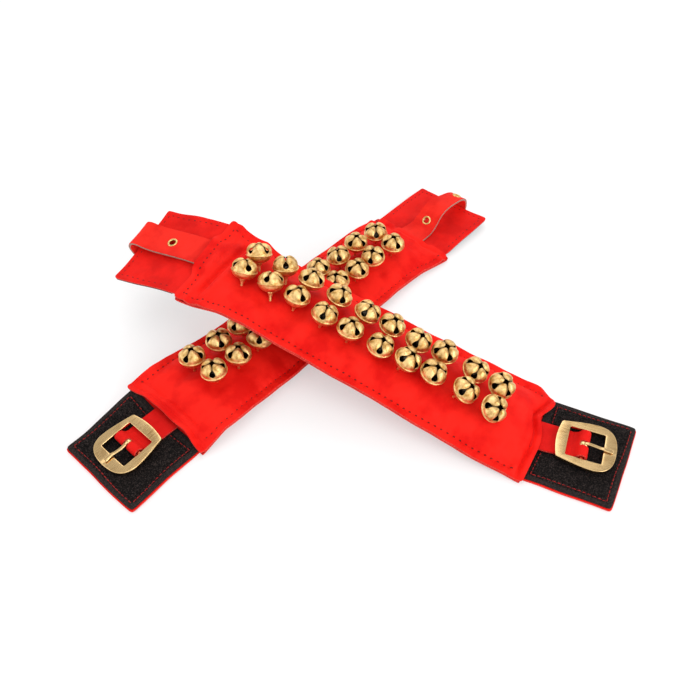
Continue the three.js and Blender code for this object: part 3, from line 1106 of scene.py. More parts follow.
def hand_cut(
    x: Grid, y: Grid, end: float, half: float, waves: Sequence[Pair], seed: float
) -> tuple[Grid, Grid]:
    """Outline of a tab: round corners at its end, and edges that wander a little.

    Args:
        x: Positions along.
        y: Positions across.
        end: Where it ends.
        half: Half its width.
        waves: How far the sides wander and a wave's reach, and the same for the end.
        seed: Picks the waves.

    Returns:
        The moved positions.
    """
    (aside, side_reach), (out, end_reach) = waves
    px, py = rounded_corners(x, y, (-PAD_LENGTH, end), half, 2.0)
    edge, flank = fade(np.abs(y), half, half - 9.0), np.sign(y)
    py = py + flank * edge * aside * ripple(x, flank * 9.0, (side_reach, 9.0), seed)
    px = px + fade(x, end, end - 8.0) * out * ripple(x * 0, y, (9.0, end_reach), seed + 1)
    return px, py


def sampled(values: Grid, u: Grid, v: Grid) -> Grid:
    """Values of a grid between its points, smoothed.

    Args:
        values: The grid.
        u: Places along its first side, in steps.
        v: Places along its second side, in steps.

    Returns:
        The value at each place.
    """

    def weights(f: Grid) -> list[Grid]:
        """Shares of the four points round a place."""
        return [
            (1 - f) ** 3 / 6,
            (3 * f**3 - 6 * f**2 + 4) / 6,
            (3 * f + 3 * f**2 - 3 * f**3 + 1) / 6,
            f**3 / 6,
        ]

    i, j = np.floor(u).astype(int), np.floor(v).astype(int)
    found = np.zeros(np.shape(u))
    for a, along in enumerate(weights(u - i)):
        for b, across in enumerate(weights(v - j)):
            rows = np.clip(i + a - 1, 0, values.shape[0] - 1)
            columns = np.clip(j + b - 1, 0, values.shape[1] - 1)
            found += along * across * values[rows, columns]
    return found


@dataclass
class Seam:
    """A row of lockstitches along a line on a surface."""

    name: str
    line: Grid
    surface: Surface
    pitch: float
    length: float
    thread: float
    wander: float = 0.12
    sides: int = 6
    steps: int = 6

    def build(self, material: Material) -> Object:
        """Makes every stitch as a short arched thread whose ends go into the leather.

        Args:
            material: The thread's finish.

        Returns:
            The row of stitches, as one object.
        """
        mesh = Mesh()
        reach = lengths_along(self.line)
        ring = circle(self.sides)
        along = np.linspace(-0.5, 0.5, self.steps)
        girth = self.thread / 2 * np.sqrt(np.clip(1.06 - (2 * along) ** 4, 0.05, 1.0))
        arch = self.thread * (0.30 - 3.2 * along**2)
        for centre in np.arange(self.pitch / 2, reach[-1] - self.length / 2, self.pitch):
            where = centre + along * self.length
            x = np.interp(where, reach, self.line[:, 0])
            y = np.interp(where, reach, self.line[:, 1])
            sway = self.wander * math.sin(centre * 12.9898)
            run = np.hypot(np.gradient(x), np.gradient(y)) + 1e-9
            x = x + sway * np.abs(np.gradient(y)) / run
            y = y + sway * np.abs(np.gradient(x)) / run
            path = self.surface(x, y)
            side = np.cross(np.gradient(path, axis=0), self.up(x, y))
            side /= np.linalg.norm(side, axis=1)[:, None]
            up = np.cross(side, np.gradient(path, axis=0))
            up /= np.linalg.norm(up, axis=1)[:, None]
            tube = (path + up * arch[:, None])[:, None]
            tube = tube + side[:, None] * (np.cos(ring) * girth[:, None])[..., None]
            tube = tube + up[:, None] * (np.sin(ring) * girth[:, None])[..., None]
            mesh.cap(mesh.skin(tube, loop_v=True), *tube.shape[:2])
        return mesh.build(self.name, [material])

    def up(self, x: Grid, y: Grid) -> Grid:
        """The surface's upward direction at places on it.

        Args:
            x: Positions along.
            y: Positions across.

        Returns:
            The directions, of any length.
        """
        step = 0.2
        dx = self.surface(x + step, y) - self.surface(x - step, y)
        dy = self.surface(x, y + step) - self.surface(x, y - step)
        return np.cross(dx, dy)


def corner_line(*corners: Pair) -> Grid:
    """A line through corners, for sewing.

    Args:
        *corners: The corners, in order.

    Returns:
        Its points, in order.
    """
    parts = [
        np.linspace(a, b, max(2, int(math.dist(a, b))), endpoint=False)
        for a, b in zip(corners, corners[1:])
    ]
    return np.concatenate([*parts, np.array([corners[-1]])])


@dataclass
class Pad:
    """The stuffed pad: a face leather over filling, sewn to a backing round its edge."""

    lay: Lay
    finishes: Finishes
    stitch: float = 3.4
    stitch_shown: float = 1.4
    thread: float = 0.56
    seam: float = 4.2
    lip_seam: float = 3.4
    corner: float = 2.2
    fill: float = 0.45
    dimple: float = 0.75
    dimple_reach: float = 1.9
    slack_step: float = 2.5
    slack_limit: float = 0.9
    slack_share: float = 0.035
    settle_scale: float = 10.0
    settle_frames: int = 24
    shank_hold: float = 2.0
    seats: list[Pair] = field(default_factory=list)
    slack: Grid | None = None

    def loosen(self) -> Grid:
        """Lets the face leather settle as cloth, held at its seams and under the bells.

        The sheet is cut a little too large for its frame, so that it buckles into soft wrinkles;
        gravity is off, so the crown keeps its form. It is ten times full size while it settles.

        Returns:
            How far each place of a regular grid rose, in millimetres.
        """
        half, scale, frames = PAD_WIDTH / 2, self.settle_scale, self.settle_frames
        along = np.linspace(-PAD_LENGTH, 0, int(PAD_LENGTH / self.slack_step) + 1)
        across = np.linspace(-half, half, int(PAD_WIDTH / self.slack_step) + 1)
        x, y = np.meshgrid(along, across, indexing="ij")
        z = crown(x, y)
        mesh = Mesh()
        mesh.skin(stack(x, y, z) * scale)
        sheet = mesh.build(self.lay.body("loose_leather"), [])
        inset = np.minimum(np.minimum(-x, x + PAD_LENGTH), half - np.abs(y))
        held = inset < SEAM_MARGIN
        for seat_x, seat_y in self.seats:
            held |= np.hypot(x - seat_x, y - seat_y) < self.shank_hold
        group = sheet.vertex_groups.new(name="sewn")
        group.add([int(k) for k in np.flatnonzero(held)], 1.0, "REPLACE")
        cloth = sheet.modifiers.new("slack", "CLOTH")
        cloth.settings.quality = 8
        cloth.settings.vertex_group_mass = group.name
        cloth.settings.shrink_min = -self.slack_share
        cloth.settings.bending_stiffness = 1.2
        cloth.settings.air_damping = 2.0
        cloth.settings.effector_weights.gravity = 0.0
        cloth.point_cache.frame_start, cloth.point_cache.frame_end = 1, frames
        for frame in range(1, frames + 1):
            bpy.context.scene.frame_set(frame)
        settled = baked(sheet)
        bpy.context.scene.frame_set(1)
        places = np.array([v.co[:] for v in settled.vertices]) / (MM * scale)
        bpy.data.meshes.remove(settled)
        rise = places[:, 2].reshape(x.shape) - z
        LOG.info("%s face settled, %.2f to %.2f mm", self.lay.name, rise.min(), rise.max())
        return np.clip(rise, -self.slack_limit, self.slack_limit)

    def plan(self, x: Grid, y: Grid) -> tuple[Grid, Grid]:
        """Wavy outline of the pad, seen from above.

        Args:
            x: Positions along the flat rectangle.
            y: Positions across.

        Returns:
            Where they end up.
        """
        half, seed = PAD_WIDTH / 2, self.lay.seed
        strap, buckle, flank = x + PAD_LENGTH, -x, np.sign(y) * 30.0
        x1, y1 = rounded_corners(x, y, (-PAD_LENGTH, 0.0), half, self.corner)
        edge = fade(np.abs(y), half, half - 12.0)
        sway = 0.8 * ripple(x, flank, (21.0, 10.0), seed)
        sway = sway + 0.35 * ripple(x, flank, (6.5, 10.0), seed + 3)
        y1 = y1 + np.sign(y) * edge * sway
        ends = 0.7 * ripple(np.sign(x + PAD_LENGTH / 2) * 40.0, y, (10.0, 13.0), seed + 5)
        x1 = x1 + fade(buckle, 0.0, 6.0) * (1.3 + ends) - fade(strap, 0.0, 6.0) * (0.7 + ends)
        over_strap = fade(np.abs(y + self.lay.strap_shift), 11.0, 16.0)
        x1 = x1 - fade(buckle, 0.0, 16.0) * self.lay.lip(y)
        x1 = x1 - fade(strap, 0.0, 10.0) * self.lay.strap_lip * over_strap
        puffed = 0.3 * hump(buckle - 12.0, 8.0) - fade(buckle, 0.0, 9.0)
        y1 = y1 + puffed * self.lay.buckle_draw * fade(y, half, 0.0)
        return x1, y1

    def height(self, x: Grid, y: Grid) -> Grid:
        """Height of the face: the crown, its seams, hems and soft folds.

        Args:
            x: Positions along the flat rectangle.
            y: Positions across.

        Returns:
            The heights.
        """
        z = crown(x, y)
        inner = np.clip((z - PAD_EDGE) / (PAD_CROWN - PAD_EDGE), 0.0, 1.0)
        seed = self.lay.seed
        z = z + inner * 0.55 * ripple(x, y, (30.0, 22.0), seed)
        z = z + inner * 0.25 * ripple(x, y, (11.0, 9.0), seed + 2)
        rows, columns = (x + PAD_LENGTH) / self.slack_step, (y + PAD_WIDTH / 2) / self.slack_step
        z = z + sampled(self.slack, rows, columns)
        z = z + self.side_relief(x, y) + self.strap_relief(x, y, inner) + self.buckle_relief(x, y)
        for seat_x, seat_y in self.seats:
            z = z - self.dimple * hump(np.hypot(x - seat_x, y - seat_y), self.dimple_reach)
        return z

    def side_relief(self, x: Grid, y: Grid) -> Grid:
        """Dents and puckers along the side seams, and the wavy edge outside them.

        Args:
            x: Positions along the flat rectangle.
            y: Positions across.

        Returns:
            What they add to the height.
        """
        side, strap, buckle = PAD_WIDTH / 2 - np.abs(y), x + PAD_LENGTH, -x
        run = fade(strap, 7.0, 3.0) * fade(buckle, 7.0, 3.0)
        pucker = np.cos(2 * math.pi * (x + np.sign(y) * 0.8) / self.stitch)
        z = run * (0.26 * pucker * hump(side - self.seam, 2.4) - 0.5 * hump(side - self.seam, 0.8))
        wave = ripple(x, np.sign(y) * 20.0, (14.0, 10.0), self.lay.seed + 7)
        return z + 0.55 * fade(side, 0.0, 5.0) * wave

    def strap_relief(self, x: Grid, y: Grid, inner: Grid) -> Grid:
        """The strap end's lip over the tab and the strap, its seam, welt and the slack fold behind.

        Args:
            x: Positions along the flat rectangle.
            y: Positions across.
            inner: Shares of the crown's height.

        Returns:
            What it adds to the height.
        """
        strap, (place, slant, depth) = x + PAD_LENGTH, self.lay.fold
        over_strap = fade(np.abs(y + self.lay.strap_shift), 8.0, 13.5)
        beside = fade(np.abs(y), TAB_WIDTH / 2 + 2.0, TAB_WIDTH / 2 - 1.5) * fade(strap, 1.0, 7.0)
        z = 1.2 * fade(strap, 3.5, 8.5) + 2.3 * over_strap * fade(strap, 3.0, 11.0)
        z = z - self.lay.droop * beside
        z = z - 0.6 * hump(strap - self.lip_seam, 0.8) + 0.8 * hump(strap - self.lip_seam - 3.0, 1.7)
        fold = place + slant * y + 1.5 * ripple(x * 0, y, (10.0, 20.0), self.lay.seed + 9)
        valley = 0.5 * hump(strap - fold - 5.5, 3.0) - smooth(inner * 3.0) * hump(strap - fold, 2.0)
        return z + depth * valley

    def buckle_relief(self, x: Grid, y: Grid) -> Grid:
        """The buckle end's rolled hem, which rises over the tape and over the short strap.

        Args:
            x: Positions along the flat rectangle.
            y: Positions across.

        Returns:
            What it adds to the height.
        """
        buckle, (hem, depth), (reach, ramp) = -x, self.lay.hem, self.lay.buckle_arch
        over_strap = fade(np.abs(y), reach - ramp, reach) * fade(buckle, 3.0, 9.0)
        over_tape = fade(np.abs(y), PAD_WIDTH / 2 - 6.0, PAD_WIDTH / 2 + 1.0)
        z = 1.7 * over_tape * fade(buckle, 4.5, 8.5) + self.lay.buckle_rise * over_strap
        z = z - depth * over_tape * hump(buckle - hem, 0.7) + 0.5 * hump(buckle - hem + 2.0, 1.4)
        wave = 1.0 + ripple(x * 0, y, (10.0, 9.0), self.lay.seed + 12)
        return z + 0.45 * fade(buckle, 0.0, 2.5) * wave

    def top(self, x: Grid, y: Grid) -> Grid:
        """The face, in the row frame."""
        return self.lay.on_pad(stack(*self.plan(x, y), self.height(x, y)))

    def bottom(self, x: Grid, y: Grid) -> Grid:
        """The underside, which follows the face where the ends lie over a tab."""
        mouth = fade(np.minimum(x + PAD_LENGTH, -x), 5.0, 8.0)
        z = PAD_FLOOR + mouth * np.clip(self.height(x, y) - LEATHER - PAD_FLOOR, 0.0, None)
        return self.lay.on_pad(stack(*self.plan(x, y), z))

    def backing(self, x: Grid, y: Grid, z: float) -> Grid:
        """The backing, just inside the face's outline.

        Args:
            x: Positions along the flat rectangle.
            y: Positions across.
            z: Its height over the pad's floor.

        Returns:
            The points, in the row frame.
        """
        px, py = self.plan(x, y)
        px = np.clip(px, -PAD_LENGTH, 0.0)
        return self.lay.on_pad(stack(px, py * 0.994, np.full(np.shape(px), z)))

    def build(self) -> None:
        """Makes the pad, its backing and its sewing, and rides them on the band."""
        lay, fin, half = self.lay, self.finishes, PAD_WIDTH / 2
        body = lay.body("band")
        inverse = lay.pad_frame().inverted()
        for row in (0, 1):
            for column in range(COLUMNS):
                foot = inverse @ lay.bell_frame(row, column) @ Vector((0, 0, SHANK_SEAT))
                self.seats.append((foot.x, foot.y))
        self.slack = self.loosen()
        x, y = lattice((-PAD_LENGTH, 0), (-half, half), (0.35, 0.9, 1.5, 2.1, 2.7, 3.2, 3.7, 4.3), 0.95)
        mesh = Mesh()
        mesh.slab(self.top(x, y), self.bottom(x, y), (0, 1, 2))
        pad = mesh.build(lay.body("stuffed_pad"), [fin.leather, fin.lining, fin.pad_edge])
        subdivide(pad)
        dress(pad, body, lay.body("pad"))
        x, y = lattice((-PAD_LENGTH, 0), (-half, half), (0.4, 1.2, 3.0), 3.0)
        mesh = Mesh()
        mesh.slab(self.backing(x, y, LEATHER + GAP * 0.8), self.backing(x, y, 0.0), (0, 0, 1))
        backing = mesh.build(lay.body("backing_leather"), [fin.lining, fin.pad_edge])
        subdivide(backing)
        dress(backing, body, lay.body("backing"))
        self.sew(body)
        LOG.info("%s pad, backing and seams", lay.name)

    def sew(self, body: str) -> None:
        """Sews the sides and the strap end's lip.

        Args:
            body: The band's body.
        """
        half, flank, place = PAD_WIDTH / 2 - 3.0, PAD_WIDTH / 2 - self.seam, self.lip_seam - PAD_LENGTH
        lines = {
            "side_seam_a": corner_line((place, -flank), (-4.0, -flank)),
            "side_seam_b": corner_line((place, flank), (-4.0, flank)),
        }
        if self.lay.lip_sewn:
            lines["lip_seam"] = corner_line((place, -half), (place, half))
        for name, line in lines.items():
            seam = Seam(self.lay.body(name), line, self.top, self.stitch, self.stitch_shown, self.thread)
            dress(seam.build(self.finishes.dark_thread), body)


@dataclass
class HookEnd:
    """The strap end: a leather tab with hook tape below, and the eyelet strap that lies over it."""

    lay: Lay
    finishes: Finishes
    tuck: float = 5.0
    seam: float = 3.0
    seam_start: float = 5.0
    tape_start: float = 4.0
    hook_pitch: float = 2.1
    hook_margin: float = 2.0
    hook_root: float = TAPE * 0.55
    strap_thickness: float = 1.6
    strap_tuck: float = 4.0
    eyelet_outer: float = 5.8
    eyelet_hole: float = 3.4
    eyelet_proud: float = 0.4
    eyelet_play: float = 0.35
    end: float = ROOT_GAP + TAB_LENGTH

    def tab(self, z: float) -> Surface:
        """The tab's skin, with its sewn dent and soft waves.

        Args:
            z: Its height over the floor.

        Returns:
            The skin, in the row frame.
        """
        half, end, seed = TAB_WIDTH / 2, self.end, self.lay.seed + 11

        def skin(x: Grid, y: Grid) -> Grid:
            """Points of the skin at places on the flat tab."""
            px, py = hand_cut(x, y, end, half, ((0.7, 15.0), (0.6, 13.0)), seed)
            inset = np.minimum(half - np.abs(y), end - x)
            out = fade(x, 12.0, 0.0)
            h = z + out * 0.5 * (1 + ripple(x, y, (22.0, 17.0), seed + 2)) - self.sunk(x)
            if z > HOOK_AXIS:
                h = h - out * 0.3 * hump(inset - self.seam, 0.8) + 0.12 * hump(inset - 1.2, 1.0)
            return self.lay.on_hook(stack(px, py, h))

        return skin

    def sunk(self, x: Grid) -> Grid:
        """How far what is tucked into the pad stays below the bent end's own plane."""
        return math.tan(math.radians(-self.lay.hook_bend)) * np.clip(-x, 0.0, None)

    def build(self) -> None:
        """Makes the tab, its tape, the strap and its eyelets."""
        self.build_tab()
        self.build_tape()
        self.build_strap()
        LOG.info("%s strap end", self.lay.name)

    def build_tab(self) -> None:
        """Makes the leather tab, whose inner end is tucked into the pad."""
        lay, fin, half = self.lay, self.finishes, TAB_WIDTH / 2
        x, y = lattice((-self.tuck, self.end), (-half, half), (0.4, 1.0, 2.0), 1.6)
        mesh = Mesh()
        mesh.slab(self.tab(HOOK_TOP)(x, y), self.tab(HOOK_TOP - LEATHER)(x, y), (0, 1, 2))
        tab = mesh.build(lay.body("hook_tab_leather"), [fin.tab_leather, fin.lining, fin.pad_edge])
        subdivide(tab)
        dress(tab, node=lay.body("hook_tab"))
        turn = np.array([[-2.0, 0.0, HOOK_AXIS], [4.0, 0.0, HOOK_AXIS]])
        bend(tab, lay.body("band"), lay.body("hook_tab"), lay.on_hook(turn))
        lay.body("hook_tape_ground")
        side, far = half - self.seam, self.end - self.seam
        near = self.seam_start
        line = corner_line((near, -side), (far, -side), (far, side), (near, side))
        stitches = {"pitch": 3.8, "length": 2.0, "thread": 0.5, "wander": 0.3}
        seam = Seam(lay.body("hook_tab_seam"), line, self.tab(HOOK_TOP), **stitches)
        dress(seam.build(fin.dark_thread), lay.body("hook_tab"))

    def build_tape(self) -> None:
        """Makes the hook tape's woven ground, and the hooks below it."""
        lay, fin = self.lay, self.finishes
        half, start, end = TAB_WIDTH / 2 - TAPE_MARGIN, self.tape_start, self.end - TAPE_MARGIN
        x, y = lattice((start, end), (-half, half), (0.3, 0.9), 2.0)
        mesh = Mesh()
        mesh.slab(self.tab(TAPE + GAP * 0.9)(x, y), self.tab(self.hook_root)(x, y))
        tape = mesh.build(lay.body("hook_tape_ground"), [fin.ground])
        subdivide(tape)
        dress(tape, lay.body("hook_tab"), lay.body("hook_tape"))
        self.build_hooks(half, start, end)

    def build_hooks(self, half: float, start: float, end: float) -> None:
        """Makes rows of small hooks, every second row set off by half a step.

        Args:
            half: Half the tape's width.
            start: Where the tape begins.
            end: Where it ends.
        """
        hooks, step, inside = Mesh(), self.hook_pitch, self.hook_margin
        ring = circle(5)
        stem = np.array([[0.0, 0.0], [0.0, -0.55], [0.18, -0.80], [0.42, -0.74], [0.50, -0.52]])
        girth = np.array([0.16, 0.14, 0.13, 0.12, 0.08])[:, None]
        across = np.gradient(stem, axis=0)
        across /= np.linalg.norm(across, axis=1)[:, None]
        ground = self.tab(self.hook_root)
        for i, hook_x in enumerate(np.arange(start + inside, end - inside, step)):
            for hook_y in np.arange(-half + inside + 0.5 * step * (i % 2), half - inside, step):
                centre = stack(hook_x + stem[:, 0], np.full(len(stem), hook_y), stem[:, 1])
                tube = np.repeat(centre[:, None], len(ring), axis=1)
                tube[..., 0] -= np.cos(ring) * girth * across[:, 1:2]
                tube[..., 2] += np.cos(ring) * girth * across[:, 0:1]
                tube[..., 1] += np.sin(ring) * girth
                foot = ground(np.array([hook_x]), np.array([hook_y]))
                shift = self.lay.on_hook(np.array([[hook_x, hook_y, 0.0]]))
                hooks.skin(self.lay.on_hook(tube) - shift + foot, loop_v=True)
        row = hooks.build(self.lay.body("hook_tape_hooks"), [self.finishes.ground])
        dress(row, self.lay.body("hook_tab"))

    def strap_line(self) -> Grid:
        """Side view of the strap's middle line, from the pad out and down past the tab's end."""
        low = HOOK_TOP + GAP + self.eyelet_proud + self.strap_thickness / 2
        knots = np.array(self.lay.strap_knots) * np.array([TAB_LENGTH, 1.0])
        return spline(knots + np.array([ROOT_GAP, low]), 24)

    def build_strap(self) -> None:
        """Makes the strap with its holes, and an eyelet in each."""
        lay, fin, half = self.lay, self.finishes, STRAP_WIDTH / 2
        line = self.strap_line()
        lengths = lengths_along(line)
        inside = np.arange(-self.strap_tuck, 0, 1.0)
        s = np.concatenate([inside, np.linspace(0, lengths[-1], int(lengths[-1] / 0.55))])
        lx = np.where(s < 0, ROOT_GAP + s, np.interp(s, lengths, line[:, 0]))
        lz = np.interp(s, lengths, line[:, 1]) - self.sunk(lx)
        y = spaced(-half, half, (0.3, 0.8), 0.6)
        run = np.stack([np.gradient(lx), np.gradient(lz)], axis=1)
        run /= np.linalg.norm(run, axis=1)[:, None]
        up = stack(-run[:, 1], np.zeros(len(s)), run[:, 0])
        wave = 0.22 * ripple(s[:, None], y[None], (17.0, 9.0), lay.seed + 20) * fade(s, 10.0, 0.0)[:, None]
        lost = lay.strap_taper * np.clip(s, 0.0, None)[:, None]
        across = lay.strap_shift - lost / 2 + y[None] * (1.0 - lost / STRAP_WIDTH)
        points = stack(lx[:, None], across, lz[:, None]) + wave[..., None] * up[:, None]
        middle_s, middle_y = (s[1:] + s[:-1]) / 2, (y[1:] + y[:-1]) / 2
        keep = np.ones((len(middle_s), len(middle_y)), bool)
        for centre in lay.eyelets:
            away = np.hypot(middle_s[:, None] - centre, middle_y[None])
            keep &= away > self.eyelet_hole / 2 + self.eyelet_play
        mesh = Mesh()
        mesh.skin(lay.on_hook(points), keep=keep)
        strap = mesh.build(lay.body("eyelet_strap_leather"), [fin.strap_leather, fin.strap_edge])
        thicken(strap, self.strap_thickness, 0.0, 1)
        subdivide(strap)
        dress(strap, node=lay.body("eyelet_strap"))
        clear = max(lay.strap_lip, 0.0)
        root = np.array([[1.5 * clear - 1.0, 0.0, line[0, 1]], [2.2 * clear + 3.0, 0.0, line[0, 1]]])
        bend(strap, lay.body("hook_tab"), lay.body("eyelet_strap"), lay.on_hook(root))
        lay.body("hook_tab_leather")
        for number, centre in enumerate(lay.eyelets, 1):
            spot = [float(np.interp(centre, lengths, line[:, k])) for k in (0, 1)]
            ahead = [float(np.interp(centre + 0.5, lengths, line[:, k])) for k in (0, 1)]
            slope = math.atan2(ahead[1] - spot[1], ahead[0] - spot[0])
            middle = (spot[0], lay.strap_shift - lay.strap_taper * centre / 2, spot[1])
            self.build_eyelet(number, middle, slope)

    def build_eyelet(self, number: int, spot: Place, slope: float) -> None:
        """Makes one rolled brass eyelet through the strap.

        Args:
            number: Which eyelet, from the root.
            spot: Its middle, in the strap end's frame.
            slope: The strap's angle there.
        """
        lay, half = self.lay, self.strap_thickness / 2
        hole, rim, proud = self.eyelet_hole / 2, self.eyelet_outer / 2, half + self.eyelet_proud
        curl = [
            (rim, half - 0.05),
            (rim, half + 0.12),
            (rim - 0.25, proud - 0.08),
            ((rim + hole) / 2, proud),
            (hole + 0.22, proud - 0.10),
            (hole, half),
        ]
        mesh = Mesh()
        mesh.lathe([*curl, *[(r, -h) for r, h in reversed(curl)], curl[0]], 28)
        eyelet = mesh.build(lay.body(f"eyelet_{number}"), [self.finishes.eyelet], weld=0.01)
        subdivide(eyelet)
        middle = np.array([spot])
        across = np.diff(lay.on_hook(middle + np.array([[0, -0.5, 0], [0, 0.5, 0]])), axis=0)[0]
        along = lay.hook_frame().to_3x3() @ Vector((math.cos(slope), 0.0, math.sin(slope)))
        across = Vector(across).normalized()
        up = along.cross(across).normalized()
        turn = Matrix((across.cross(up), across, up)).transposed().to_4x4()
        eyelet.matrix_world = Matrix.Translation(Vector(lay.on_hook(middle)[0]) * MM) @ turn
        dress(eyelet, lay.body("eyelet_strap"))


@dataclass
class BuckleEnd:
    """The buckle end: a leather tab faced with loop tape, and a short strap that holds the buckle."""

    lay: Lay
    finishes: Finishes
    tuck: float = 4.5
    tape_start: float = -1.5
    tape_seam: float = 3.3
    pile_step: float = 0.42
    pile_start: float = 0.3
    pile_height: float = 0.55
    selvedge: float = 2.0
    filament: float = 0.18
    setback: float = 9.2
    length: float = 28.1
    back_width: float = 22.5
    width: float = 27.5
    belly: float = 0.63
    bow: float = 1.2
    thickness: float = 2.2
    corner: float = 1.5
    back_rim: float = 4.6
    tip_rim: float = 6.3
    bar: float = 2.0
    bar_place: float = 0.44
    fold: float = 1.4
    strap_tail: float = 3.2
    fold_length: float = 5.2
    waist: float = 0.09
    groove: float = 0.35
    groove_reach: float = 1.3
    bar_seat: float = 1.6
    prong_width: float = 2.4
    prong_short: float = 1.6
    slit_clear: float = 0.4
    slit_back: float = 1.7
    slit_front: float = 0.3
    end: float = ROOT_GAP + TAB_LENGTH

    @property
    def bar_x(self) -> float:
        """Where the bar is, along."""
        return self.setback + self.length * self.bar_place

    @property
    def bar_z(self) -> float:
        """How high the bar is."""
        return LOOP_TOP + GAP + self.fold + self.bar / 2 + GAP

    def tab(self, z: float, margin: float = 0.0) -> Surface:
        """A flat skin of the tab or its tape.

        Args:
            z: Its height.
            margin: How far its edge is inside the tab's.

        Returns:
            The skin, in the row frame.
        """
        half, end, seed = TAB_WIDTH / 2 - margin, self.end - margin, self.lay.seed + 31

        def skin(x: Grid, y: Grid) -> Grid:
            """Points of the skin at places on the flat tab."""
            px, py = hand_cut(x, y, end, half, ((0.6, 16.0), (0.5, 14.0)), seed)
            lift = fade(x, 14.0, 0.0) * 0.35 * (1 + ripple(x, y, (24.0, 18.0), seed + 2))
            lift = lift + self.lay.loop_lift * fade(-y, TAB_WIDTH / 2, 8.0) * fade(x, 0.0, 34.0)
            return self.lay.on_buckle(stack(px, py, z + lift))

        return skin

    def build(self) -> None:
        """Makes the tab, its tape, the strap, the frame and the prong."""
        self.build_tab()
        self.build_tape()
        self.build_strap()
        self.build_frame()
        self.build_prong()
        LOG.info("%s buckle end", self.lay.name)

    def build_tab(self) -> None:
        """Makes the leather tab, whose inner end is tucked into the pad."""
        lay, fin, half = self.lay, self.finishes, TAB_WIDTH / 2
        x, y = lattice((-self.tuck, self.end), (-half, half), (0.4, 1.0, 2.0), 2.2)
        tucked = (LEATHER + GAP + 0.1) * fade(-x, 1.5, 0.0)
        top, bottom = self.tab(LEATHER)(x, y), self.tab(0.0)(x, y)
        top[..., 2] += tucked
        bottom[..., 2] += tucked
        mesh = Mesh()
        mesh.slab(top, bottom, (0, 0, 1))
        tab = mesh.build(lay.body("loop_tab_leather"), [fin.leather, fin.pad_edge])
        subdivide(tab)
        dress(tab, node=lay.body("loop_tab"))
        self.turn_at_seam(tab)

    def turn_at_seam(self, sheet: Object) -> None:
        """Bakes the place of a sheet that is tucked into the pad; it does not turn with the tab.

        Args:
            sheet: The sheet, which lies along the tab.
        """
        lay, turn = self.lay, np.array([[0.8, 0.0, LOOP_AXIS], [6.0, 0.0, LOOP_AXIS]])
        bend(sheet, lay.body("band"), lay.body("loop_tab"), lay.on_buckle(turn))

    def build_tape(self) -> None:
        """Makes the loop tape: a woven ground, a looped pile inside its sewn edge, red topstitch."""
        lay, fin, margin = self.lay, self.finishes, TAPE_MARGIN
        half, start, end = TAB_WIDTH / 2 - margin, self.tape_start, self.end - margin
        low, ground = LEATHER + 0.1, LOOP_TOP - self.pile_height
        x, y = lattice((start, end), (-half, half), (0.3, 0.9), 1.5)
        mesh = Mesh()
        mesh.slab(self.tab(ground, margin)(x, y), self.tab(low, margin)(x, y))
        tape = mesh.build(lay.body("loop_tape_ground"), [fin.ground])
        subdivide(tape)
        dress(tape, node=lay.body("loop_tape"))
        self.turn_at_seam(tape)
        lay.body("loop_tab_leather")
        self.build_pile(half, self.pile_start, end, ground)
        inset = self.tape_seam - margin
        near, far, side = self.tape_seam + 0.4, end - inset, half - inset
        line = corner_line((near, -side), (far, -side), (far, side), (near, side), (near, -side))
        surface = self.tab(ground + 0.3, margin)
        stitches = {"pitch": 2.4, "length": 2.0, "thread": 0.42, "wander": 0.55}
        seam = Seam(lay.body("loop_tape_topstitch"), line, surface, **stitches)
        topstitch = seam.build(fin.red_thread)
        dress(topstitch)
        self.turn_at_seam(topstitch)

    def build_pile(self, half: float, start: float, end: float, ground: float) -> None:
        """Makes the pile: a tufted skin with small loops standing out of it.

        Args:
            half: Half the tape's width.
            start: Where the tape shows.
            end: Where it ends.
            ground: The height of the woven ground.
        """
        lay, fin, step, selvedge = self.lay, self.finishes, self.pile_step, self.selvedge
        along = np.arange(start + selvedge, end - selvedge, step)
        x, y = np.meshgrid(along, np.arange(-half + selvedge, half - selvedge, step), indexing="ij")
        inset = np.minimum(np.minimum(x - start, end - x), half - np.abs(y)) - selvedge
        tuft = 0.30 + 0.20 * ripple(x, y, (0.9, 0.9), lay.seed + 40)
        tuft = tuft + 0.10 * ripple(x, y, (2.6, 2.6), lay.seed + 41)
        sewn = 1.0 - 0.85 * hump(inset + selvedge + TAPE_MARGIN - self.tape_seam, 0.7)
        points = self.tab(ground, TAPE_MARGIN)(x, y)
        points[..., 2] += tuft * fade(inset, 0.8, 0.0) * sewn + 0.02
        mesh = Mesh()
        mesh.skin(points)
        ring, thin = circle(4), self.filament / 2
        bow = np.linspace(0.15, math.pi - 0.15, 6)
        upright = np.array([0.0, 0.0, 1.0])
        draw = np.random.default_rng(int(lay.seed * 10))
        for i in range(2, x.shape[0] - 2, 2):
            for j in range(2, x.shape[1] - 2, 2):
                away = draw.uniform(-0.3, 0.3, 2)
                size, twist = draw.uniform(0.24, 0.44), draw.uniform(0, math.pi)
                flat = np.array([math.cos(twist), math.sin(twist), 0.0])
                out = np.cos(bow)[:, None] * flat + np.sin(bow)[:, None] * upright
                line = points[i, j] + np.array([away[0], away[1], -0.1]) + size * out
                girth = thin * np.cos(ring)[None, :, None] * out[:, None]
                tube = line[:, None] + girth + thin * np.sin(ring)[None, :, None] * np.cross(flat, upright)
                mesh.skin(tube, loop_v=True)
        pile = mesh.build(lay.body("loop_tape_pile"), [fin.pile])
        dress(pile)
        self.turn_at_seam(pile)

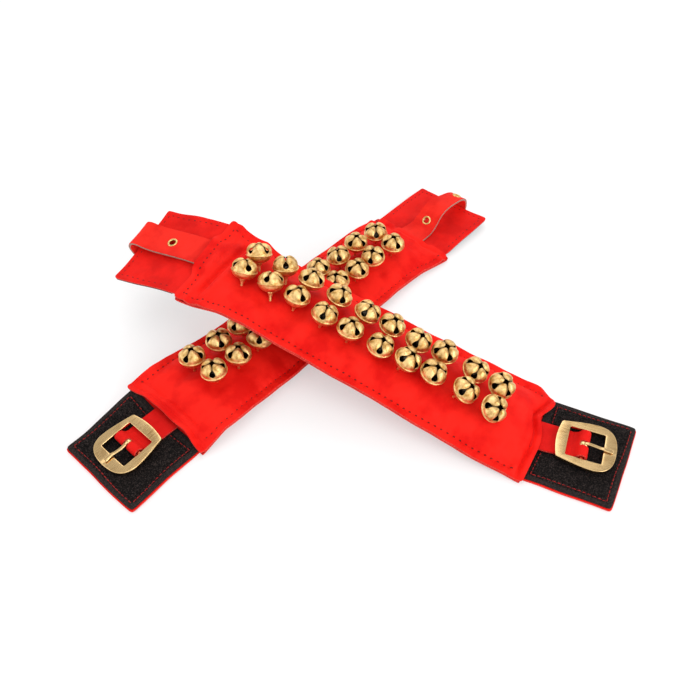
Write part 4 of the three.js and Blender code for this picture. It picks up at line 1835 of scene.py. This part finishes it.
    def strap_line(self) -> Grid:
        """Side view of the short strap's middle line: out, round the bar and back on itself."""
        low, bar_x, bar_z = LOOP_TOP + GAP + self.fold / 2, self.bar_x, self.bar_z
        radius = bar_z - low
        turn = np.linspace(-math.pi / 2, math.pi * 0.76, 26)
        out = np.array([[x, low] for x in np.arange(-self.strap_tail, bar_x - 0.5, 0.6)])
        eye = np.stack([bar_x + radius * np.cos(turn), bar_z + radius * np.sin(turn)], axis=1)
        last = np.array([bar_x - self.fold_length, low + 0.15])
        knots = [eye[-1], eye[-1] + np.array([-0.9, -1.4]), last + np.array([2.2, 0.3]), last]
        return np.vstack([out, eye, bezier(knots, 12)[1:], last[None]])

    def build_strap(self) -> None:
        """Makes the short strap, slit where the prong comes through."""
        lay, fin, half = self.lay, self.finishes, STRAP_WIDTH / 2
        line = self.strap_line()
        y = spaced(-half, half, (0.3, 0.8), 0.62)
        sag = 0.2 * ripple(line[:, :1], y[None], (9.0, 7.0), lay.seed + 50) * fade(line[:, :1], 6.0, 0.0)
        narrow = 1.0 - self.waist * fade(line[:, :1], 16.0, 7.0)
        points = stack(line[:, :1], y[None] * narrow, line[:, 1:2] + sag)
        mid_x, mid_y = (line[1:, 0] + line[:-1, 0]) / 2, (y[1:] + y[:-1]) / 2
        over_bar = (line[1:, 1] > self.bar_z) & (mid_x > self.bar_x - self.slit_back)
        open_run = over_bar | (mid_x > self.bar_x + self.slit_front)
        slit = open_run[:, None] & (np.abs(mid_y)[None] < self.prong_width / 2 + self.slit_clear)
        mesh = Mesh()
        mesh.skin(lay.on_clasp(points), keep=~slit)
        strap = mesh.build(lay.body("buckle_strap_leather"), [fin.clasp_leather, fin.pad_edge])
        thicken(strap, self.fold, 0.0, 1)
        subdivide(strap)
        dress(strap, node=lay.body("buckle_strap"))
        root = np.array([[-1.0, 0.0, line[0, 1]], [3.0, 0.0, line[0, 1]]])
        bend(strap, lay.body("loop_tab"), lay.body("buckle_strap"), lay.on_clasp(root))
        lay.body("loop_tape_ground")

    def outline(self) -> Grid:
        """The frame's outer edge, seen from above, as points in order."""
        half, back_half, tip = self.width / 2, self.back_width / 2, self.setback + self.length
        back, c = self.setback, self.corner
        belly = back + self.length * self.belly
        bowed, turn = back - self.bow, belly + 0.72 * (tip - belly)
        lower = np.vstack([
            bezier([(bowed, 0.0), (bowed, (c - back_half) / 2), (back, c - back_half)], 20),
            bezier([(back, c - back_half), (back, -back_half), (back + c, -back_half)], 12),
            bezier([(back + c, -back_half), (self.bar_x, -half), (belly, -half)], 20),
            bezier([(belly, -half), (turn, -half), (tip, -half * 0.65), (tip, 0)], 30),
        ])
        return np.vstack([lower, lower[::-1] * np.array([1.0, -1.0])])

    def window(self) -> Grid:
        """The frame's inner edge, seen from above, as points in order."""
        near, far = self.setback + self.back_rim, self.setback + self.length - self.tip_rim
        side, r = STRAP_WIDTH / 2 + GAP, 0.8
        corners = ((near, -side, 1.0), (far, -side, 1.5), (far, side, 0.0), (near, side, 0.5))
        points = []
        for cx, cy, start in corners:
            centre = np.array([cx + (r if cx == near else -r), cy + (r if cy < 0 else -r)])
            angle = math.pi * start + np.linspace(0, math.pi / 2, 6)
            points.append(centre + r * np.stack([np.cos(angle), np.sin(angle)], axis=1))
        return np.vstack(points)

    @staticmethod
    def cast(edge: Grid, centre: Grid, angles: Grid) -> Grid:
        """Points where rays from a centre meet a closed edge.

        Args:
            edge: The edge's points, in order.
            centre: Where the rays start.
            angles: The rays' directions.

        Returns:
            One point for each ray.
        """
        closed = np.vstack([edge, edge[:1]]) - centre
        bearing = np.unwrap(np.arctan2(closed[:, 1], closed[:, 0]))
        if bearing[-1] < bearing[0]:
            closed, bearing = closed[::-1], bearing[::-1]
        found = []
        for angle in angles:
            shifted = bearing[0] + (angle - bearing[0]) % (2 * math.pi)
            k = min(int(np.searchsorted(bearing, shifted, side="right")) - 1, len(closed) - 2)
            a, step = closed[k], closed[k + 1] - closed[k]
            ray = np.array([math.cos(angle), math.sin(angle)])
            across = step[0] * ray[1] - step[1] * ray[0]
            share = (a[1] * ray[0] - a[0] * ray[1]) / across if abs(across) > 1e-9 else 0.0
            found.append(centre + a + np.clip(share, 0.0, 1.0) * step)
        return np.array(found)

    def build_frame(self) -> None:
        """Makes the frame as a flat ring with narrow chamfers, and its bar."""
        lay, fin = self.lay, self.finishes
        centre = np.array([self.setback + (self.back_rim + self.length - self.tip_rim) / 2, 0.0])
        inner_edge, outer_edge = self.window(), self.outline()
        corners = np.arctan2(*(inner_edge - centre).T[::-1])
        angles = np.concatenate([np.linspace(-math.pi, math.pi, 140, endpoint=False), corners])
        angles = np.sort(angles % (2 * math.pi))
        angles = angles[np.concatenate([[True], np.diff(angles) > 2e-3])]
        inner = self.cast(inner_edge, centre, angles)
        outer = self.cast(outer_edge, centre, angles)
        low, high = self.bar_z - self.thickness / 2, self.bar_z + self.thickness / 2
        half_section = [(0.05, low), (0.0, low + 0.25), (0.0, high - 0.45), (0.015, high - 0.15)]
        half_section += [(0.05, high - 0.02), (0.10, high), (0.3, high + 0.04)]
        section = half_section + [(1.0 - share, z) for share, z in reversed(half_section)]
        rings = []
        for share, z in section:
            flat = inner + (outer - inner) * share
            groove = self.groove * hump(flat[:, 1], self.groove_reach)
            groove = groove * (flat[:, 0] > self.bar_x) * (z > self.bar_z)
            rings.append(stack(flat[:, 0], flat[:, 1], z - groove))
        mesh = Mesh()
        mesh.skin(np.array(rings), loop_u=True, loop_v=True)
        reach, radius = STRAP_WIDTH / 2 + self.bar_seat, self.bar / 2
        ring = circle(16)
        bar_x, bar_z = self.bar_x + radius * np.cos(ring), self.bar_z + radius * np.sin(ring)
        mesh.skin(np.array([stack(bar_x, y, bar_z) for y in np.linspace(-reach, reach, 5)]), loop_v=True)
        frame = mesh.build(lay.body("buckle_frame_brass"), [fin.buckle])
        subdivide(frame)
        frame.matrix_world = self.metres()
        dress(frame, lay.body("buckle"), lay.body("buckle_frame"))

    def metres(self) -> Matrix:
        """The buckle's frame, tipped about its bar, in metres."""
        bar = Matrix.Translation((self.bar_x, 0.0, self.bar_z))
        dip = Matrix.Rotation(math.radians(self.lay.buckle_dip), 4, "Y")
        frame = self.lay.clasp_frame() @ bar @ dip @ bar.inverted()
        frame.translation *= MM
        return frame

    def build_prong(self) -> None:
        """Makes the prong: an eye round the bar and a bent arm whose flattened tip rests on the rim."""
        lay, fin = self.lay, self.finishes
        top, x0 = self.bar_z + self.thickness / 2, self.bar_x
        tip = self.setback + self.length - self.prong_short
        knots = np.array([
            [x0 + 0.3, top + 0.45],
            [x0 + 2.2, top + 0.75],
            [x0 + 5.0, top + 0.50],
            [x0 + 7.6, top + 0.28],
            [tip - 4.4, top + 0.46],
            [tip - 1.6, top + 0.42],
            [tip, top + 0.24],
        ])
        path = spline(knots, 5)
        share = np.linspace(0, 1, len(path))
        blunt = np.sqrt(np.clip(1.02 - share**14, 0.04, 1))
        wide = self.prong_width / 2 * (0.72 + 0.36 * fade(share, 0.85, 0.55)) * blunt
        thick = 0.72 * (1.0 - 0.4 * share) * blunt
        sway = lay.prong_sway * np.sin(2 * math.pi * share)
        ring = circle(16)
        ring_y = np.sign(np.cos(ring)) * np.abs(np.cos(ring)) ** 0.7
        ring_z = np.sign(np.sin(ring)) * np.abs(np.sin(ring)) ** 0.7
        across = sway[:, None] + wide[:, None] * ring_y
        tube = stack(path[:, :1], across, path[:, 1:2] + thick[:, None] * ring_z)
        mesh = Mesh()
        mesh.cap(mesh.skin(tube, loop_v=True), *tube.shape[:2])
        inner, outer, half = self.bar / 2 + 0.12, self.bar / 2 + 1.25, self.prong_width / 2
        eye = [(inner, -half), (outer - 0.3, -half), (outer, -half + 0.35)]
        eye += [(r, -y) for r, y in reversed(eye)]
        angle = circle(24)
        rings = [stack(x0 + r * np.cos(angle), y, self.bar_z + r * np.sin(angle)) for r, y in eye]
        mesh.skin(np.array(rings), loop_u=True, loop_v=True)
        prong = mesh.build(lay.body("buckle_prong_brass"), [fin.buckle])
        subdivide(prong)
        prong.matrix_world = self.metres()
        dress(prong, lay.body("prong"), lay.body("buckle_prong"))


@dataclass
class Bells:
    """The slotted brass bells: a pressed bowl and a four-petalled dome, a shank and a loose pellet."""

    finishes: Finishes
    radius: float = 6.65
    dome: float = 6.1
    bowl: float = BELL_BOWL
    wall: float = 0.6
    shank: float = 1.5
    tip: float = 1.25
    slot: float = 0.04
    eye: float = 1.5
    eye_start: float = 3.7
    eye_place: float = 5.95
    slot_end: float = 6.48
    puff: float = 0.7
    crease: float = 0.6
    valley: float = 1.35
    # Reach and strength of the painted shade in the creases between the petals
    crease_shade: float = 0.7
    crease_shade_share: float = 0.7
    pellet: float = 4.2
    pellet_lift: float = 0.25
    pellet_aside: float = 0.6
    across: int = 11

    def half_slot(self, rho: Grid) -> Grid:
        """Half the slot's width: flared at the pole, with an eye at the end.

        Args:
            rho: Distances from the pole's axis.

        Returns:
            Half the width at each.
        """
        flare = self.tip * math.sin(math.pi / 4) - self.slot
        wide = self.slot + flare * np.exp(-(rho - self.tip) / 0.5)
        opening = fade(rho, self.eye_place, self.eye_start)
        wide = wide + (self.eye - self.slot) * opening
        closing = np.clip((rho - self.eye_place) / (self.slot_end - self.eye_place), 0.0, 1.0)
        return wide * np.sqrt(1.0 - closing**2)

    @staticmethod
    def off_slot(angle: Grid) -> Grid:
        """Angle from the nearest slot."""
        return math.pi / 4 - np.abs((angle + math.pi / 4) % (math.pi / 2) - math.pi / 4)

    def ring(self, rise: Grid, angle: Grid) -> Grid:
        """Points of the dome: petals that swell between creases along the slots.

        Args:
            rise: Angles above the equator.
            angle: Angles round the pole, with a slot at each odd eighth of a turn.

        Returns:
            The points, over the shank's foot.
        """
        rise, angle = np.broadcast_arrays(rise, angle)
        rho = self.radius * np.cos(rise)
        near = hump(rho * np.sin(self.off_slot(angle)), self.valley)
        swell = fade(rise, 0.6, 0.0) * (self.puff * (1.0 - near) - self.crease * near)
        r = rho + swell * np.cos(rise)
        z = EQUATOR + (self.dome + swell) * np.sin(rise)
        return stack(r * np.cos(angle), r * np.sin(angle), z)

    def shell(self) -> Mesh:
        """The outer skin: four petals that join below the slots, a seam ridge and the bowl."""
        mesh = Mesh()
        closing = np.array([0.6, 0.3, 0.1, 0.0]) * (self.slot_end - self.eye_place)
        petal = [np.linspace(self.tip, 4.2, 8), np.linspace(4.6, self.eye_place, 3)]
        rho = np.concatenate([*petal, self.slot_end - closing])
        rise = np.arccos(rho / self.radius)[:, None]
        most = math.sin(math.pi / 4) - 1e-3
        gap = np.arcsin(np.clip(self.half_slot(rho) / rho, 0, most))[:, None]
        share = np.sin(np.linspace(-1, 1, self.across) * math.pi / 2)
        for quarter in range(4):
            mesh.skin(self.ring(rise, quarter * math.pi / 2 + share * (math.pi / 4 - gap)))
        angle = np.concatenate([(q * 2 + share[:-1]) * math.pi / 4 for q in range(4)])
        rings = [self.ring(a, angle) for a in np.linspace(rise[-1, 0], 0.07, 5)]
        ridge = [(0.12, 0.34), (0.35, 0.14), (0.35, -0.14), (0.10, -0.34)]
        profile = [(self.radius + out, EQUATOR + up) for out, up in ridge]
        for fall in np.linspace(0.09, math.pi / 2 - 0.14, 8):
            profile.append((self.radius * math.cos(fall), EQUATOR - self.bowl * math.sin(fall)))
        rings += [stack(r * np.cos(angle), r * np.sin(angle), z) for r, z in profile]
        mesh.skin(np.array(rings), loop_v=True)
        return mesh

    def template(self) -> bpy.types.Mesh:
        """One bell's mesh, about its shank's foot."""
        metal = [self.finishes.bell, self.finishes.bell_inside]
        skin = self.shell().build("bell_skin", metal, weld=0.02)
        thicken(skin, self.wall, -1.0, 0, 1)
        subdivide(skin)
        hollow = baked(skin)
        stem, half, foot, seat = Mesh(), self.shank / 2, EQUATOR - self.bowl, SHANK_SEAT
        profile = [
            (0.0, seat - 1.6),
            (half * 0.9, seat - 1.6),
            (half, seat - 0.9),
            (half * 0.92, seat + 0.4),
            (half * 1.15, foot - 1.9),
            (half * 1.75, foot - 0.8),
            (half * 2.5, foot + 0.05),
            (half * 2.3, foot + 0.5),
            (0.0, foot + 0.55),
        ]
        stem.lathe(profile, 14)
        post = stem.build("bell_stem", metal, weld=0.02)
        subdivide(post)
        whole = bmesh.new()
        whole.from_mesh(hollow)
        whole.from_mesh(baked(post))
        whole.to_mesh(hollow)
        whole.free()
        hollow.name = "bell_brass"
        self.shade_creases(hollow)
        return hollow

    def shade_creases(self, mesh: bpy.types.Mesh) -> None:
        """Marks how deep in the creases between petals each point lies, for the painted shade there.

        Args:
            mesh: The bell's mesh.
        """
        place = np.array([v.co[:] for v in mesh.vertices]) / MM
        x, y, z = place.T
        off = self.off_slot(np.arctan2(y, x))
        near = hump(np.hypot(x, y) * np.sin(off), self.crease_shade)
        mark = mesh.attributes.new("crease", "FLOAT", "POINT")
        mark.data.foreach_set("value", self.crease_shade_share * near * fade(z - EQUATOR, 2.8, 0.8))

    def pellet_template(self) -> bpy.types.Mesh:
        """One pellet's mesh: a slightly uneven ball of shot."""
        ball = bmesh.new()
        bmesh.ops.create_icosphere(ball, subdivisions=3, radius=self.pellet / 2 * MM)
        for vertex in ball.verts:
            vertex.co *= 1.0 + 0.05 * noise.noise(vertex.co * 900.0)
        mesh = bpy.data.meshes.new("bell_pellet")
        ball.to_mesh(mesh)
        ball.free()
        mesh.materials.append(self.finishes.pellet)
        mesh.polygons.foreach_set("use_smooth", [True] * len(mesh.polygons))
        return mesh

    def build(self, lays: Sequence[Lay]) -> None:
        """Sets a bell and its pellet on every seat.

        Args:
            lays: The bands.
        """
        bell, pellet = self.template(), self.pellet_template()
        rest = EQUATOR - self.bowl + self.wall + self.pellet / 2 + self.pellet_lift
        loose = Matrix.Translation((self.pellet_aside * MM, 0.0, rest * MM))
        for lay in lays:
            for row in (0, 1):
                for column in range(COLUMNS):
                    frame = lay.bell_frame(row, column)
                    frame.translation *= MM
                    node = lay.body(f"bell_{'ab'[row]}{column + 1:02d}")
                    self.put(f"{node}_brass", bell, frame, node, node)
                    self.put(f"{node}_pellet", pellet, frame @ loose, node)
            LOG.info("%s bells and pellets", lay.name)

    @staticmethod
    def put(name: str, data: bpy.types.Mesh, frame: Matrix, body: str, node: str = "") -> None:
        """Sets one copy of a mesh in its place.

        Args:
            name: The piece's name.
            data: The mesh.
            frame: Its place.
            body: The body it moves with.
            node: The solid it replaces, if any.
        """
        obj = bpy.data.objects.new(name, data)
        bpy.context.scene.collection.objects.link(obj)
        obj.matrix_world = frame
        dress(obj, body, node)


@dataclass
class Studio:
    """White floor, soft lamps and the camera."""

    lens: float = 39.06
    sensor: float = 36.0
    clip: Pair = (0.02, 50.0)
    eye: Place = (206.0, 218.0, 312.2)
    target: Place = (-2.0, 35.7, 0.0)
    roll: float = 0.62
    horizon: float = 1.0
    zenith: float = 0.36
    lit_from: float = 0.2
    seen_from: float = 0.42
    floor_reach: float = 6000.0
    floor_drop: float = 0.05
    paper_cloud: float = 40.0
    floor_glow: float = 0.46
    glow_reach: Pair = (0.34, 1.1)
    lit_spot: Place = (0.0, 0.03, 0.0)

    def build(self) -> None:
        """Makes the floor, the sky, the lamps and the camera."""
        self.floor()
        self.sky()
        self.lamp("key_softbox", (0.05, 0.98, 0.55), 0.60, 5.0)
        self.lamp("top_softbox", (0.10, 0.02, 1.25), 1.10, 4.5)
        self.lamp("back_softbox", (-0.62, -0.52, 0.95), 0.90, 4.0)
        self.lamp("fill_card", (0.75, -0.45, 0.28), 0.60, 1.4)
        self.camera()
        bpy.context.scene.view_settings.view_transform = "Standard"
        LOG.info("studio")

    def floor(self) -> None:
        """A wide white sweep just below the object, bleached in part where it is seen directly."""
        mesh, side = Mesh(), np.array([-self.floor_reach, self.floor_reach])
        x, y = np.meshgrid(side, side, indexing="ij")
        mesh.skin(stack(x, y, np.full(x.shape, -self.floor_drop)))
        paint = Paint("matt_white_paper_sweep", Roughness=1.0, Specular_IOR_Level=0.0)
        pulp = paint.node("ShaderNodeTexNoise", paint.pattern(self.paper_cloud, Detail=2.0))
        tones = {0.3: srgb("FAFAFA"), 0.7: srgb("FCFCFC")}
        paint.finish(Base_Color=paint.node("ShaderNodeValToRGB", {"Fac": pulp}, tones))
        place = paint.node("ShaderNodeNewGeometry").outputs["Position"]
        away = paint.node("ShaderNodeVectorMath", {0: place}, operation="LENGTH").outputs["Value"]
        near, far = self.glow_reach
        fading = {"Value": away, "From Min": near, "From Max": far, "To Min": self.floor_glow}
        bleached = paint.node("ShaderNodeMapRange", {**fading, "To Max": 1.0})
        share = paint.node("ShaderNodeMath", {0: paint.shown(), 1: bleached}, operation="MULTIPLY")
        glow = paint.node("ShaderNodeEmission", {"Strength": 1.0})
        mixed = paint.node("ShaderNodeMixShader", {0: share, 1: paint.shader, 2: glow})
        paint.tree.links.new(mixed.outputs[0], paint.out.inputs["Surface"])
        mesh.build("floor", [paint.material])

    def sky(self) -> None:
        """A white surround that is darker overhead, and stays white further up where it is seen."""
        world = bpy.data.worlds.new("studio_surround")
        world.use_nodes = True
        sky = Nodes(world.node_tree)
        place = sky.node("ShaderNodeTexCoord").outputs["Generated"]
        height = sky.node("ShaderNodeSeparateXYZ", {0: place}).outputs["Z"]
        white, grey = [(level, level, level, 1.0) for level in (self.horizon, self.zenith)]
        tones = [
            sky.node("ShaderNodeValToRGB", {"Fac": height}, {start: white, 1.0: grey})
            for start in (self.lit_from, self.seen_from)
        ]
        both = {MIX_SHARE: sky.shown(), MIX_FIRST: tones[0], MIX_SECOND: tones[1]}
        mixed = sky.node("ShaderNodeMix", both, data_type="RGBA").outputs[MIX_RESULT]
        shine = sky.node("ShaderNodeBackground", {"Color": mixed})
        sky.node("ShaderNodeOutputWorld", {"Surface": shine})
        bpy.context.scene.world = world

    def lamp(self, name: str, place: Place, size: float, power: float) -> None:
        """Adds a square soft lamp that faces the object.

        Args:
            name: Its name.
            place: Where it hangs, in metres.
            size: Its side, in metres.
            power: In watts.
        """
        data = bpy.data.lights.new(name, "AREA")
        data.shape, data.size, data.energy = "SQUARE", size, power
        lamp = bpy.data.objects.new(name, data)
        lamp.location = place
        aim = Vector(self.lit_spot) - Vector(place)
        lamp.rotation_euler = aim.to_track_quat("-Z", "Y").to_euler()
        bpy.context.scene.collection.objects.link(lamp)

    def camera(self) -> None:
        """The camera, where the photograph was taken from."""
        data = bpy.data.cameras.new("camera")
        data.lens, data.sensor_width = self.lens, self.sensor
        data.clip_start, data.clip_end = self.clip
        camera = bpy.data.objects.new("camera", data)
        look = (Vector(self.target) - Vector(self.eye)).to_track_quat("-Z", "Y").to_matrix().to_4x4()
        roll = Matrix.Rotation(math.radians(self.roll), 4, "Z")
        camera.matrix_world = Matrix.Translation(Vector(self.eye) * MM) @ look @ roll
        bpy.context.scene.collection.objects.link(camera)
        bpy.context.scene.camera = camera


def main() -> None:
    """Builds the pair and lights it."""
    logging.basicConfig(level=logging.INFO)
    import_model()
    Studio().build()
    finishes = Finishes.make()
    for lay in (LOWER, UPPER):
        Pad(lay, finishes).build()
        HookEnd(lay, finishes).build()
        BuckleEnd(lay, finishes).build()
    Bells(finishes).build((LOWER, UPPER))
    bpy.context.view_layer.update()


if __name__ == "__main__":
    main()
